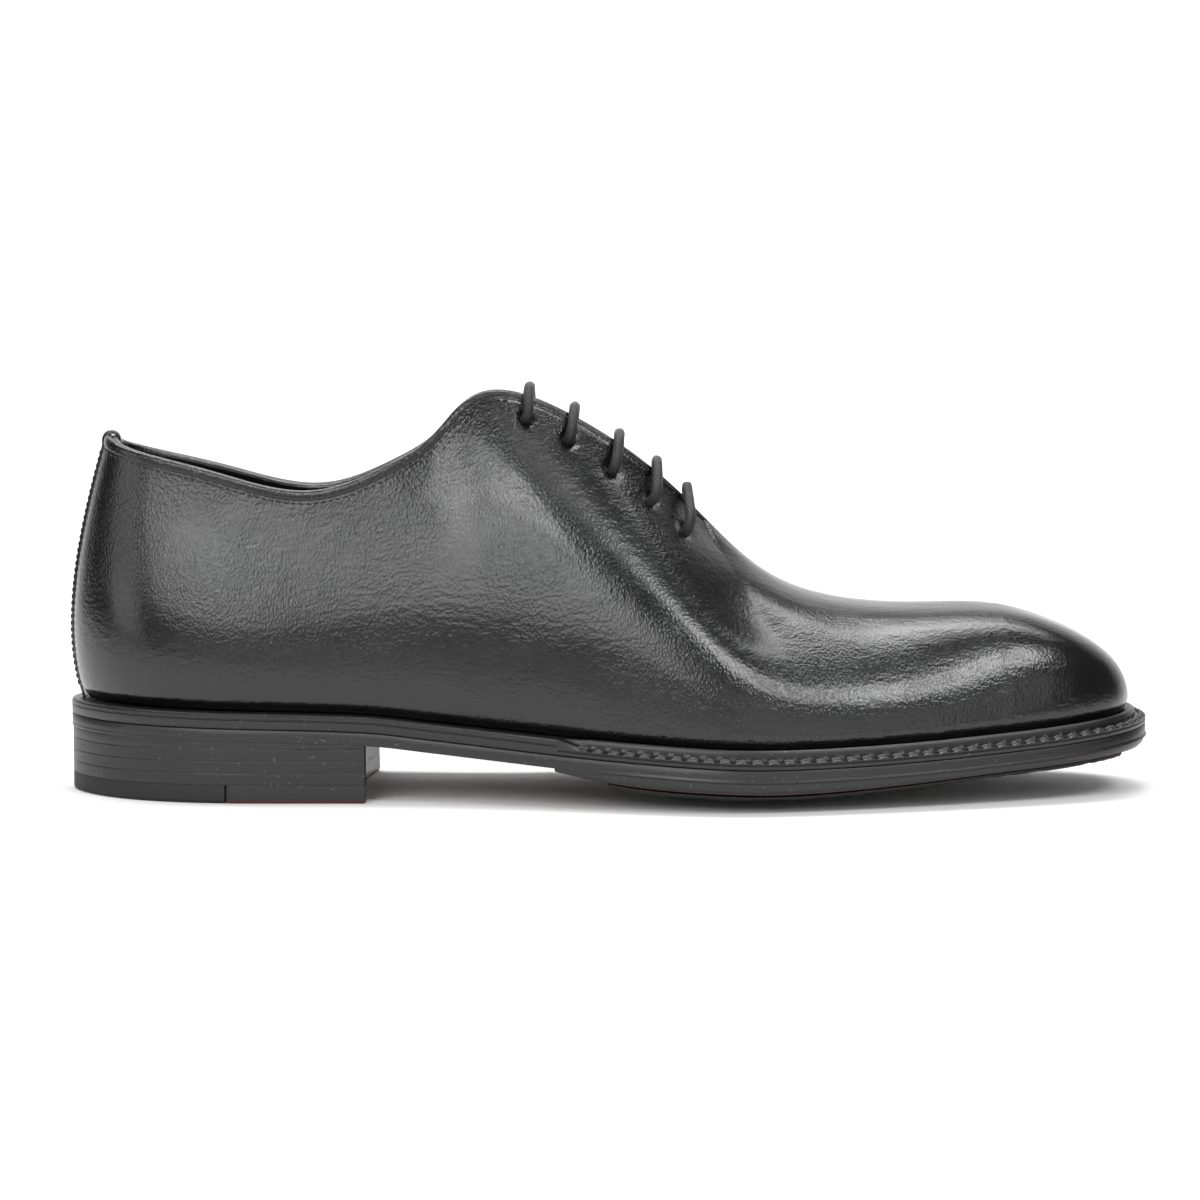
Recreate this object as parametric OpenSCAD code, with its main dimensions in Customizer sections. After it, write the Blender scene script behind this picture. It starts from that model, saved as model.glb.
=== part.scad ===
// Leather oxford shoe, right foot, lateral side towards -Y, toe towards +X.
// Welted construction: upper and linings, lasted bottom, stitched welt, stacked heel, laced tongue.
// Millimetres. The origin is on the floor, midway between heel and toe and between the sides.

/* [Overall size] */
// Length from the back of the heel to the tip of the welt
shoe_l = 306; // [270:1:340]
// Width across the ball, welt included
ball_w = 107.4; // [90:0.2:125]
// Width of the heel
heel_w = 71; // [60:0.5:82]
// Height of the facing's top corner above the edge of the upper
upper_h = 92; // [76:0.5:105]

/* [Upper leathers] */
// Thickness of the outer leather
upper_t = 1.6; // [1:0.1:2.2]
// Thickness of the stiffener layer between leather and lining
stay_t = 0.8; // [0.6:0.1:1.2]
// Thickness of the lining leather
lining_t = 1; // [0.7:0.1:1.4]
// Thickness of the strip over the back seam
strip_t = 0.6; // [0.4:0.1:1]
// Height of the rolled edge above the cut edges
bead_h = 1.2; // [0.8:0.1:1.8]
// Width of upper leather turned under the insole
margin_w = 8; // [6:0.5:10]

/* [Bottom] */
// Thickness of the welt where the upper stands on it
welt_t = 4.4; // [3.6:0.1:5.2]
// Height of the welt's rib above the ledge that carries the stitches
rib_h = 2.2; // [1.4:0.1:2.8]
// Thickness of the outsole
outsole_t = 3.6; // [2.8:0.1:5]
// Thickness of the second sole under the ball
half_sole_t = 3; // [2.2:0.1:4]
// Thickness of the tread insert
tread_t = 1.6; // [1.2:0.1:2.2]
// How far the middle of the tread stands below its edge
crown_h = 4; // [2.5:0.1:5.5]
// Thickness of the insole
insole_t = 3; // [2.2:0.1:4]
// Thickness of the sock liner
sock_t = 1; // [0.6:0.1:1.6]
// Width of the shank
shank_w = 14; // [10:0.5:18]
// Thickness of the shank
shank_t = 1.2; // [0.8:0.1:1.4]
// Rise of the toe above the ball
toe_spring = 6.8; // [3:0.1:10]

/* [Heel] */
// Length of the heel along the sole
heel_l = 86; // [75:0.5:95]
// Thickness of one heel lift
lift_t = 3.3; // [2.6:0.1:4.2]
// Number of level heel lifts
lift_n = 3; // [3:1:3]
// Thickness of the sloped lift at the back of the heel
base_t = 3.1; // [2.9:0.1:4.5]
// Thickness of the top piece that touches the ground
top_piece_t = 5.1; // [4:0.1:6.5]
// Length of the rubber tip from the back of the heel
tip_l = 42; // [32:0.5:50]
// Diameter of a heel nail
nail_d = 2; // [1.6:0.1:2.6]

/* [Lacing] */
// Diameter of the lace
lace_d = 3; // [2:0.1:3.4]
// Gap between the facings at the top
facing_gap = 13; // [10:0.5:18]
// Number of eyelets on each side
eyelet_n = 5; // [5:1:5]
// Length of a lace tip
aglet_l = 16; // [12:1:22]

/* [Tongue] */
// Thickness of the tongue leather
tongue_t = 1.6; // [1.1:0.1:2]
// Thickness of the tongue lining
tongue_lining_t = 0.9; // [0.6:0.1:1.2]
// Width of the tongue at its widest
tongue_w = 46; // [38:0.5:50]

/* [Hidden] */

// ---- sizes the tables below were drawn at ----
DRAWN_L = 306;
DRAWN_BALL = 107.4;
DRAWN_HEEL = 71;
DRAWN_H = 92;
long = shoe_l / DRAWN_L;
tall = upper_h / DRAWN_H;
$fn = 32;

// ---- derived sizes ----
gap = 0.05;                       // between leathers that lie on each other
stay_d = upper_t;                 // depth of the stiffener layer below the outer face
lining_d = upper_t + stay_t;      // depth of the lining's outer face
wall_t = lining_d + lining_t;     // whole wall
heel_h = top_piece_t + lift_n * lift_t + base_t;
tread_drop = half_sole_t + tread_t + crown_h;
eyelet_d = lace_d + 0.6;
eyelet_ring_d = eyelet_d + 2.6;
rib_w = 1.5;                      // width of the welt's rib and of the insole's rib
filler_gap = 1.2;                 // between the insole's rib and the filler
rib_gap = 0.4;                    // between the welt's rib and the upper
rib_up = 0.4;                     // how far the welt's rib stands above the upper's edge
stitch_in = 0.5;                  // welt stitching: distance from the edge, width, height
stitch_w = 1.6;
stitch_up = 1;
tip_joint = 0.1;

// Stations round the shoe: 0 at the heel, 14 at the toe tip, 28 at the heel again.
// Lateral side first. The medial side repeats the stations with its own width.
TIP = 14;
TURN = 28;
THROAT = 9;                       // station where the two facings meet

// Sole outline: distance from the heel, lateral side, medial side, upper's set-back from the edge
OUTLINE = [[0, 4, 4, 3.8], [6, -11.5, 19.5, 3.5], [22, -25, 32.3, 3.8], [48, -31.7, 39, 3.8],
    [80, -32, 36.5, 3.8], [110, -35, 32.6, 4.2], [138, -42.6, 33.4, 5.4], [164, -50, 41.3, 6.5],
    [188, -53.7, 50.2, 6.8], [212, -50.3, 53.7, 6.8], [240, -42.8, 49.2, 6.6],
    [268, -33.3, 41, 6.4], [290, -23.6, 31.4, 6], [302, -11.5, 21.5, 5.4], [306, 5, 5, 5]];

// Top edge and crest: distance from the heel, half width, height above the upper's lower edge
TOP_EDGE = [[10.8, 0, 73.7], [13.2, 8, 72], [24, 15, 68.8], [45, 19.5, 64], [70, 21, 60],
    [92, 18.5, 68.4], [106, 12.5, 80], [123, 7, 92], [156.4, 6, 79], [180.5, 0, 59.8],
    [202.5, 0, 42.7], [232, 0, 35.9], [256, 0, 34.5], [272, 0, 30.4], [280, 0, 26.8]];

// How the wall leaves the sole: lean outwards and rise
ROOT = [[7.4, 21], [7.4, 21], [6.8, 22], [6, 23], [4, 21], [4, 23], [4, 26], [3, 28], [2.5, 28],
    [2, 24], [1.5, 20], [1.2, 17], [1.2, 15.5], [1.2, 13.5], [1, 12.8]];

// How the wall arrives at its top edge: forwards, outwards, up
SHOULDER = [[-6.5, 0, -22], [-5, 3, -23], [-2.5, 4.5, -24], [-0.5, 4, -23], [2, 5, -21],
    [6, 7, -23], [8, 12, -22], [5, 14, -19], [3, 11.5, -19], [3, 10, -13], [8.5, 16, -4.5],
    [10, 22, 0], [12, 20, -0.5], [15, 12, -4.4], [12, 0, -5.5]];

// Underside of the outsole: distance from the heel, share of the heel's rise, share of toe spring
PROFILE = [[0, 1, 0], [40, 0.92, 0], [85, 0.8, 0], [105, 0.6, 0], [125, 0.41, 0], [150, 0.21, 0],
    [185, 0.02, 0], [205, 0, 0], [230, 0, 0.1], [255, 0, 0.3], [280, 0, 0.57], [306, 0, 1]];

// Centre line of the upper: distance from the heel, offset from the middle
CENTRE = [[0, 4], [70, 3], [120, 1], [180, 0], [230, 0.5], [285, 3], [306, 5]];

// Second sole: distance from the heel, share of its thickness, share of its crown
TAPER = [[138, 0.35, 0], [150, 0.8, 0.35], [165, 1, 0.8], [185, 1, 1], [205, 1, 1], [230, 0.8, 0.75],
    [255, 0.62, 0.5], [280, 0.6, 0.4], [306, 0.6, 0.35]];

// Crest of the tongue: distance from the heel, height above the upper's lower edge,
// share of the half width, share of the fall
TONGUE = [[108, 83, 0.45, 1.75], [112, 86.8, 0.53, 1.75], [118, 89, 0.59, 1.75],
    [125, 87.5, 0.62, 1.7], [135, 82.6, 0.76, 1.45], [150, 74.8, 0.85, 1.2], [165, 65, 0.8, 1.1],
    [178, 54.4, 0.6, 1], [190, 45.6, 0.6, 1]];
// Fall of the tongue from its crest: distance from the centre, drop
TONGUE_FALL = [[0, 0], [4, 2.4], [8, 7], [12, 12], [16, 17.5], [20, 24], [24, 31]];

// ---- curves ----
function row_at(rows, x) = max([0, for (i = [1 : len(rows) - 2]) if (rows[i][0] <= x) i]);
function row_slope(rows, i, c) =
    let (a = max(i - 1, 0), b = min(i + 1, len(rows) - 1))
    (rows[b][c] - rows[a][c]) / (rows[b][0] - rows[a][0]);
// Column c of a table at x, on a smooth curve through its rows
function curve(rows, x, c = 1) =
    let (i = row_at(rows, x), h = rows[i + 1][0] - rows[i][0], f = (x - rows[i][0]) / h)
    rows[i][c] * (2 * pow(f, 3) - 3 * f * f + 1) + rows[i + 1][c] * (3 * f * f - 2 * pow(f, 3))
    + row_slope(rows, i, c) * h * (pow(f, 3) - 2 * f * f + f)
    + row_slope(rows, i + 1, c) * h * (pow(f, 3) - f * f);

function blend4(a, b, c, d, f) =
    0.5 * (2 * b + (c - a) * f + (2 * a - 5 * b + 4 * c - d) * f * f
    + (3 * b - 3 * c + d - a) * pow(f, 3));
// Value at station u of a list that closes on itself, on a smooth curve through its entries
function ring(list, u) =
    let (v = (u % TURN + TURN) % TURN, i = floor(v))
    blend4(list[(i + TURN - 1) % TURN], list[i], list[(i + 1) % TURN], list[(i + 2) % TURN], v - i);
function unit(v) = v / norm(v);
function smooth(f) = let (g = min(max(f, 0), 1)) g * g * (3 - 2 * g);

// ---- the shoe's lines ----
function wide(x) =
    let (f = smooth((x - 60) / 110)) heel_w / DRAWN_HEEL * (1 - f) + ball_w / DRAWN_BALL * f;
function place(x, y) = [(x - DRAWN_L / 2) * long, y * wide(x)];
function drawn_x(x) = x / long + DRAWN_L / 2;
function sole_z(x) =
    let (d = drawn_x(x))
    tread_drop + (heel_h - tread_drop) * curve(PROFILE, d, 1) + toe_spring * curve(PROFILE, d, 2);
function seat_z(x) = sole_z(x) + outsole_t + welt_t;
function centre_y(x) = let (d = drawn_x(x)) curve(CENTRE, d) * wide(d);
function station(k) = k <= TIP ? k : TURN - k;
function side(k) = k <= TIP ? -1 : 1;

STATIONS = [0 : TURN - 1];
outline_ring = [for (k = STATIONS) let (r = OUTLINE[station(k)]) place(r[0], k <= TIP ? r[1] : r[2])];
inset_ring = [for (k = STATIONS) OUTLINE[station(k)][3]];
DRAWN_FACING_GAP = 13;
edge_ring = [for (k = STATIONS)
    let (r = TOP_EDGE[station(k)], facing = k == 7 || k == 8 || k == 20 || k == 21,
        w = r[1] + (facing ? (facing_gap - DRAWN_FACING_GAP) / 2 : 0))
    [place(r[0], 0)[0], side(k) * w * wide(r[0]), r[2] * tall]];
root_ring = [for (k = STATIONS) ROOT[station(k)]];
shoulder_ring = [for (k = STATIONS)
    let (r = SHOULDER[station(k)]) [r[0] * long, side(k) * r[1], r[2] * tall]];

function fold(u) = let (v = (u % TURN + TURN) % TURN) v <= TIP ? v : TURN - v;
function on_crest(u) = fold(u) >= THROAT;
function outward(u) =
    let (d = ring(outline_ring, u + 0.02) - ring(outline_ring, u - 0.02)) unit([d[1], -d[0]]);
// Point of the sole outline at station u, moved in by inset and up by rise from the upper's edge
function foot(u, inset, rise = 0) =
    let (p = ring(outline_ring, u) - outward(u) * inset) [p[0], p[1], seat_z(p[0]) + rise];
function set_back(u) = ring(inset_ring, u);
function top_edge(u) =
    let (e = ring(edge_ring, u)) [e[0], centre_y(e[0]) + (on_crest(u) ? 0 : e[1]), seat_z(e[0]) + e[2]];
// Outer face of the upper: a cubic from the sole at s = 0 to the top edge at s = 1
function face(u, s) =
    let (b = foot(u, set_back(u)), e = top_edge(u), r = ring(root_ring, u), n = outward(u),
        c = b + [n[0] * r[0], n[1] * r[0], r[1] * tall], d = e + ring(shoulder_ring, u), t = 1 - s)
    b * pow(t, 3) + 3 * c * s * t * t + 3 * d * s * s * t + e * pow(s, 3);
function crest_normal(u) =
    let (v = min(fold(u), TIP - 0.2), d = top_edge(v + 0.1) - top_edge(v - 0.1)) unit([-d[2], 0, d[0]]);
function normal(u, s) =
    s > 0.999 && on_crest(u) ? crest_normal(u)
    : unit(cross(face(u + 0.02, s) - face(u - 0.02, s),
                 face(u, min(s + 0.02, 1)) - face(u, max(s - 0.02, 0))));
// Point of the wall at depth d below its outer face, never lower than what it stands on
function wall(u, s, d) =
    let (p = face(u, s) - normal(u, s) * d)
    [p[0], p[1], d > 0 ? max(p[2], seat_z(p[0]) + min(d, upper_t)) : p[2]];

// ---- solids from rows of points ----
// Skins a list of rows, each with the same number of points.
// loop joins the last row to the first, wrap joins the ends of each row.
// fold_rows meet their mirror images from column fold_from on.
module skin(rows, loop = true, wrap = true, fold_rows = [], fold_from = 0) {
    r_n = len(rows);
    c_n = len(rows[0]);
    function mirrored(c) = wrap ? (c_n - c) % c_n : c_n - 1 - c;
    function folds(c) = let (m = min(c, mirrored(c))) m >= fold_from && (!wrap || c > 0);
    function is_fold(r) = len([for (f = fold_rows) if (f == r) 1]) > 0;
    function id(r, c) = is_fold(r) && folds(c) && c > mirrored(c) ? r * c_n + mirrored(c) : r * c_n + c;
    function tri(a, b, c) = a == b || b == c || a == c ? [] : [[a, b, c]];
    function quad(a, b, c, d) = concat(tri(a, b, c), tri(a, c, d));
    // the second half is split the other way, so that pieces lying on each other have matching facets
    function back(r, c) = loop ? 2 * r >= r_n : 2 * c >= c_n;
    sides = [for (r = [0 : r_n - (loop ? 1 : 2)])
        for (c = [0 : c_n - (wrap ? 1 : 2)])
            let (r2 = (r + 1) % r_n, c2 = (c + 1) % c_n)
            if (!(is_fold(r) && is_fold(r2) && folds(c) && folds(c2)))
                each back(r, c) ? quad(id(r2, c), id(r2, c2), id(r, c2), id(r, c))
                    : quad(id(r, c), id(r2, c), id(r2, c2), id(r, c2))];
    ends = !loop ? [] : wrap ? [] : [for (r = [0 : r_n / 2 - 2])
        let (q = r_n - 1 - r)
        each concat(quad(id(r + 1, 0), id(r, 0), id(q, 0), id(q - 1, 0)),
            quad(id(r, c_n - 1), id(r + 1, c_n - 1), id(q - 1, c_n - 1), id(q, c_n - 1)))];
    // a row's end is closed by strips between its first and second half
    caps = loop || !wrap ? [] : [for (c = [0 : c_n / 2 - 2])
        let (e = c_n - 1 - c, z = r_n - 1)
        each concat(quad(id(0, c), id(0, c + 1), id(0, e - 1), id(0, e)),
            quad(id(z, c + 1), id(z, c), id(z, e), id(z, e - 1)))];
    polyhedron(points = [for (row = rows) each row], faces = concat(sides, ends, caps), convexity = 8);
}

STEP = 0.5;
LEVELS = [0, 0.12, 0.28, 0.45, 0.62, 0.78, 0.84, 0.9, 0.95, 1];
// Point on the facets that the wall has between the stations STEP apart and the LEVELS
function facet(u, s, d) =
    let (a = floor(u / STEP + 0.001) * STEP, f = (u - a) / STEP,
        i = max([0, for (k = [0 : len(LEVELS) - 2]) if (LEVELS[k] <= s + 0.001) k]),
        g = (s - LEVELS[i]) / (LEVELS[i + 1] - LEVELS[i]))
    (wall(a, LEVELS[i], d) * (1 - f) + wall(a + STEP, LEVELS[i], d) * f) * (1 - g)
    + (wall(a, LEVELS[i + 1], d) * (1 - f) + wall(a + STEP, LEVELS[i + 1], d) * f) * g;

// A layer of the wall between two depths, over stations us and levels ss
module layer(us, ss, d1, d2, fold_from = 999) {
    n = len(ss);
    rows = concat([for (s = ss) [for (u = us) facet(u, s, d1)]],
        [for (i = [n - 1 : -1 : 0]) [for (u = us) facet(u, ss[i], d2)]]);
    skin(rows, wrap = false, fold_rows = fold_from < 999 ? [n - 1, n] : [], fold_from = fold_from);
}

// A flat piece across the sole, over stations us. Its rim is set in from the sole's edge by inset(u).
// top and bottom give heights at a point of the plan.
ACROSS = 8;
module plank(us, inset, top, bottom) {
    function lane(u, f) =
        let (a = foot(u, inset(u)), b = foot(TURN - u, inset(u)), x = (a[0] + b[0]) / 2)
        [x, a[1] + (b[1] - a[1]) * f];
    rows = [for (u = us) concat(
        [for (j = [ACROSS : -1 : 0]) let (p = lane(u, j / ACROSS)) [p[0], p[1], top(p[0], p[1])]],
        [for (j = [0 : ACROSS]) let (p = lane(u, j / ACROSS)) [p[0], p[1], bottom(p[0], p[1])]])];
    skin(rows, loop = false);
}

// A band round the sole between an outer and an inner inset, from one rise to another
module band(us, outer, inner, low, high, wrap = false) {
    skin([[for (u = us) foot(u, outer(u), low)], [for (u = us) foot(u, outer(u), high)],
        [for (u = us) foot(u, inner(u), high)], [for (u = us) foot(u, inner(u), low)]], wrap = wrap);
}

// ---- station lists ----
ALL_ROUND = [for (i = [0 : TURN / STEP - 1]) i * STEP];
INNER_LENGTH = [for (i = [1 : 27]) i * STEP];
FULL_LENGTH = concat([0.1], INNER_LENGTH, [13.9]);
function span(a, b, step = STEP) = [for (i = [0 : round((b - a) / step)]) a + i * step];

// ---- eyelets and lace route ----
function eyelet_u(i) = 7.17 + 0.333 * i;
function eyelet_s(i) = 0.905 - 0.018 * i - 0.003 * i * i;
// Point on the axis of eyelet i at depth d, on the lateral side (-1) or the medial side (1)
function eye(i, hand, d) =
    let (u = hand < 0 ? eyelet_u(i) : TURN - eyelet_u(i), s = eyelet_s(i)) face(u, s) - normal(u, s) * d;
function eye_axis(i, hand) = let (u = hand < 0 ? eyelet_u(i) : TURN - eyelet_u(i)) normal(u, eyelet_s(i));
lace_out = -(lace_d / 2 + 0.5);
lace_in = wall_t + lace_d / 2 + 0.2;
beside = lace_d + 0.5;
// Point where bar i passes over the edge of a facing
function over_edge(i, hand) =
    let (v = 7.24 + 0.36 * i, u = hand < 0 ? v : TURN - v)
    top_edge(u) + normal(u, 0.98) * (lace_d / 2 + 0.4) + [0, 0, lace_d * 0.25];
function bar(i, hand) =
    let (a = over_edge(i, hand), b = over_edge(i, -hand), top = [0, 0, lace_d * 0.3])
    [eye(i, hand, lace_in), eye(i, hand, lace_out), a, (a + b) / 2 + top, b, eye(i, -hand, lace_out),
        eye(i, -hand, lace_in)];
// Run under the facing between two eyelets, beside the eyelets it passes
function run(i, j, hand, side_step) =
    [for (f = [0.3, 0.7])
        let (v = (eyelet_u(i) * (1 - f) + eyelet_u(j) * f), s = eyelet_s(i) * (1 - f) + eyelet_s(j) * f,
            u = hand < 0 ? v : TURN - v, p = face(u, s), q = face(u, s - 0.02))
        p - normal(u, s) * lace_in + unit(q - p) * side_step];
// Loose end, tucked down between the quarter and the tongue
function tuck(i, hand, step) =
    [for (f = [1 : 4])
        let (v = eyelet_u(i) - 0.25 * f, u = hand < 0 ? v : TURN - v, s = eyelet_s(i) - step * f)
        face(u, s) - normal(u, s) * (lace_in + 0.25 * f)];
function reverse(list) = [for (i = [len(list) - 1 : -1 : 0]) list[i]];
TUCK_STEP = 0.11;
lace_route = concat(reverse(tuck(1, -1, TUCK_STEP)), bar(1, -1), run(1, 3, 1, -beside), bar(3, 1),
    run(3, 4, -1, -beside * 0.2), bar(4, -1), run(4, 2, 1, beside), bar(2, 1), run(2, 0, -1, beside),
    bar(0, -1), tuck(0, 1, TUCK_STEP));

// A round tube through points, with one ring at each
module tube(points, d, sides = 8) {
    n = len(points);
    function along(i) = unit(points[min(i + 1, n - 1)] - points[max(i - 1, 0)]);
    function across(i) =
        let (t = along(i), a = abs(t[0]) < 0.8 ? [1, 0, 0] : [0, 1, 0]) unit(a - t * (a * t));
    // each ring's first spoke is carried on from the ring before
    function spokes(i, prev) = let (t = along(i)) unit(prev - t * (prev * t));
    function carry(i) = i == 0 ? [across(0)] : let (before = carry(i - 1))
        concat(before, [spokes(i, before[len(before) - 1])]);
    starts = carry(n - 1);
    rows = [for (i = [0 : n - 1])
        let (t = along(i), a = starts[i], b = cross(t, a))
        [for (k = [0 : sides - 1]) let (turn = 360 * k / sides)
            points[i] + (a * cos(turn) - b * sin(turn)) * d / 2]];
    skin(rows, loop = false);
}

// ---- upper ----
// A cylinder on the axis of each eyelet, centred at a depth of the wall
module eyelet_holes(d, h = 4 * wall_t, depth = wall_t / 2) {
    for (i = [0 : eyelet_n - 1])
        for (hand = [-1, 1]) {
            n = eye_axis(i, hand);
            translate(eye(i, hand, depth))
                rotate([0, acos(n[2]), atan2(n[1], n[0])])
                cylinder(d = d, h = h, center = true, $fn = 24);
        }
}
ring_t = 0.5;
ring_depth = stay_d + stay_t / 2;
// Pocket between the leathers for the blind eyelets' rings
module eyelet_pockets() {
    eyelet_holes(eyelet_ring_d + 0.1, ring_t + 0.1, ring_depth);
}

module upper() {
    n = len(LEVELS);
    outer = concat([[for (u = ALL_ROUND) foot(u, set_back(u) + margin_w)]],
        [for (s = LEVELS) [for (u = ALL_ROUND) wall(u, s, 0)]]);
    inner = concat([for (i = [n - 1 : -1 : 0]) [for (u = ALL_ROUND) wall(u, LEVELS[i], upper_t)]],
        [[for (u = ALL_ROUND) foot(u, set_back(u) + margin_w, upper_t)]]);
    color("#17161a")
    difference() {
        skin(concat(outer, inner), fold_rows = [n, n + 1], fold_from = THROAT / STEP);
        eyelet_holes(eyelet_d);
        eyelet_pockets();
    }
}

module back_strip() {
    color("#1c1b1f") layer([-0.28, 0, 0.28], LEVELS, -strip_t, -gap);
}

module topline_binding() {
    us = span(-8.5, 8.5);
    function up(u) = unit(face(u, 1) - face(u, 0.97));
    function row(d, h) = [for (u = us) face(u, 1) - normal(u, 1) * d + up(u) * h];
    color("#1f1e22")
    skin([row(0, 3 * gap), row(0, bead_h), row(wall_t, bead_h), row(wall_t, 3 * gap)], wrap = false);
}

module topline_stitching() {
    color("#26252a")
    for (us = [span(0.5, 7), span(21, 27.5)])
        layer(us, [0.955, 0.967], -0.4, -2 * gap);
}

module back_strip_stitching() {
    color("#26252a")
    for (hand = [-1, 1])
        layer(hand < 0 ? [-0.24, -0.22] : [0.22, 0.24], [for (i = [1 : 8]) LEVELS[i]], -strip_t - 0.4,
            -strip_t - 2 * gap);
}

module quarter_lining() {
    color("#5a1620")
    difference() {
        layer(span(-7.5, 7.5), LEVELS, lining_d + gap, wall_t);
        eyelet_holes(eyelet_d);
        eyelet_pockets();
    }
}

module vamp_lining() {
    color("#6a1f28")
    difference() {
        layer(concat([7.51], span(8, 20), [20.49]), LEVELS, lining_d + gap, wall_t, fold_from = 3);
        eyelet_holes(eyelet_d);
        eyelet_pockets();
    }
}

module heel_counter() {
    color("#8a6a45") layer(span(-3.5, 3.5), [for (i = [0 : 3]) LEVELS[i]], stay_d + gap, lining_d);
}

module toe_puff() {
    color("#8a6a45") layer(span(11.5, 16.5), LEVELS, stay_d + gap, lining_d, fold_from = 0);
}

module side_stays() {
    color("#c9c2b2")
    for (us = [span(4, 7), span(21, 24)])
        layer(us, [for (i = [1 : 4]) LEVELS[i]], stay_d + gap, lining_d);
}

module facing_stays() {
    color("#c9c2b2")
    difference() {
        for (us = [span(7, 8.5), span(19.5, 21)])
            layer(us, [for (i = [5 : 8]) LEVELS[i]], stay_d + gap, lining_d);
        eyelet_holes(eyelet_ring_d + 0.1);
    }
}

module blind_eyelets() {
    color("#3a3a3c")
    difference() {
        eyelet_holes(eyelet_ring_d, ring_t, ring_depth);
        eyelet_holes(eyelet_d);
    }
}

// ---- tongue ----
// Flat length of slope taken up by one millimetre of leather on the sloping tongue
TONGUE_SLOPE = 1.25;
// Wall and lace that TONGUE was drawn under; the tongue stays clear of the lace as they change
DRAWN_WALL = 3.4;
DRAWN_LACE = 3;
tongue_drop = TONGUE_SLOPE * (wall_t - DRAWN_WALL + lace_d - DRAWN_LACE);
module tongue_sheet(xs, depth, thick, width = 0) {
    function height(x, y) =
        let (d = drawn_x(x))
        seat_z(x) + (curve(TONGUE, d) - curve(TONGUE_FALL, abs(y)) * curve(TONGUE, d, 3)) * tall
            - tongue_drop - depth;
    function half(x) = width > 0 ? width / 2 : curve(TONGUE, drawn_x(x), 2) * tongue_w / 2;
    lanes = [-1, -0.78, -0.56, -0.3, 0, 0.3, 0.56, 0.78, 1];
    rows = [for (d = xs) let (x = place(d, 0)[0], c = centre_y(x), w = half(x)) concat(
        [for (j = [8 : -1 : 0]) [x, c + lanes[j] * w, height(x, lanes[j] * w)]],
        [for (j = [0 : 8]) [x, c + lanes[j] * w, height(x, lanes[j] * w) - thick]])];
    skin(rows, loop = false);
}
TONGUE_XS = [108, 109.5, 112, 116, 120, 126, 134, 142, 150, 158, 166, 172, 178];
tongue_full = tongue_t * TONGUE_SLOPE;
ANCHOR_W = 9;

module tongue() {
    color("#19181b") tongue_sheet(TONGUE_XS, 0, tongue_full);
}

module tongue_lining() {
    color("#5a1620") tongue_sheet(TONGUE_XS, tongue_full + gap, tongue_lining_t * TONGUE_SLOPE);
}

module tongue_anchor() {
    color("#19181b") tongue_sheet([179.4, 182, 186, 190], 0, tongue_full, ANCHOR_W);
}

// ---- lace ----
module lace() {
    color("#101012") tube(lace_route, lace_d);
}

module lace_aglets() {
    last = len(lace_route) - 1;
    color("#2a2a2c")
    for (e = [[lace_route[0], lace_route[0] - lace_route[1]],
            [lace_route[last], lace_route[last] - lace_route[last - 1]]]) {
        d = unit(e[1]);
        translate(e[0] + d * 0.05)
            rotate([0, acos(d[2]), atan2(d[1], d[0])]) cylinder(d = lace_d * 0.8, h = aglet_l, $fn = 24);
    }
}

// ---- lasted bottom ----
function crown(x, y) =
    let (d = drawn_x(x), a = curve(OUTLINE, d, 1) * wide(d), b = curve(OUTLINE, d, 2) * wide(d),
        f = (2 * y - a - b) / (b - a))
    crown_h * curve(TAPER, d, 2) * max(0, 1 - f * f);
function half_sole_z(x, y) = sole_z(x) - half_sole_t * curve(TAPER, drawn_x(x), 1) - crown(x, y);
function inside(u) = set_back(u) + wall_t + 0.4;
function rib_in(u) = set_back(u) + margin_w + gap;

module insole() {
    color("#c49a6c")
    plank(INNER_LENGTH, function(u) inside(u), function(x, y) seat_z(x) + upper_t + insole_t,
        function(x, y) seat_z(x) + upper_t + gap);
}

module sock_liner() {
    color("#5a1620")
    plank(INNER_LENGTH, function(u) inside(u) + 0.6,
        function(x, y) seat_z(x) + upper_t + insole_t + gap + sock_t,
        function(x, y) seat_z(x) + upper_t + insole_t + gap);
}

module insole_rib() {
    color("#d8cfb8")
    band(ALL_ROUND, function(u) rib_in(u), function(u) rib_in(u) + rib_w, gap - welt_t, upper_t - gap,
        wrap = true);
}

SHANK_FROM = 3;
SHANK_TO = 7.5;
module shank() {
    color("#9a9da1")
    skin([for (u = span(SHANK_FROM + STEP, SHANK_TO - STEP)) let (x = foot(u, 0)[0], c = centre_y(x),
        z = seat_z(x) + upper_t - gap)
        [[x, c + shank_w / 2, z], [x, c - shank_w / 2, z], [x, c - shank_w / 2, z - shank_t],
            [x, c + shank_w / 2, z - shank_t]]], loop = false);
}

module bottom_filler() {
    function in_shank(x) = x >= foot(SHANK_FROM, 0)[0] - 0.5 && x <= foot(SHANK_TO, 0)[0] + 0.5;
    color("#a5794d")
    plank(INNER_LENGTH, function(u) rib_in(u) + rib_w + filler_gap,
        function(x, y) seat_z(x) + upper_t - gap - (in_shank(x) ? shank_t + 3 * gap : 0),
        function(x, y) seat_z(x) - welt_t + gap);
}

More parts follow.
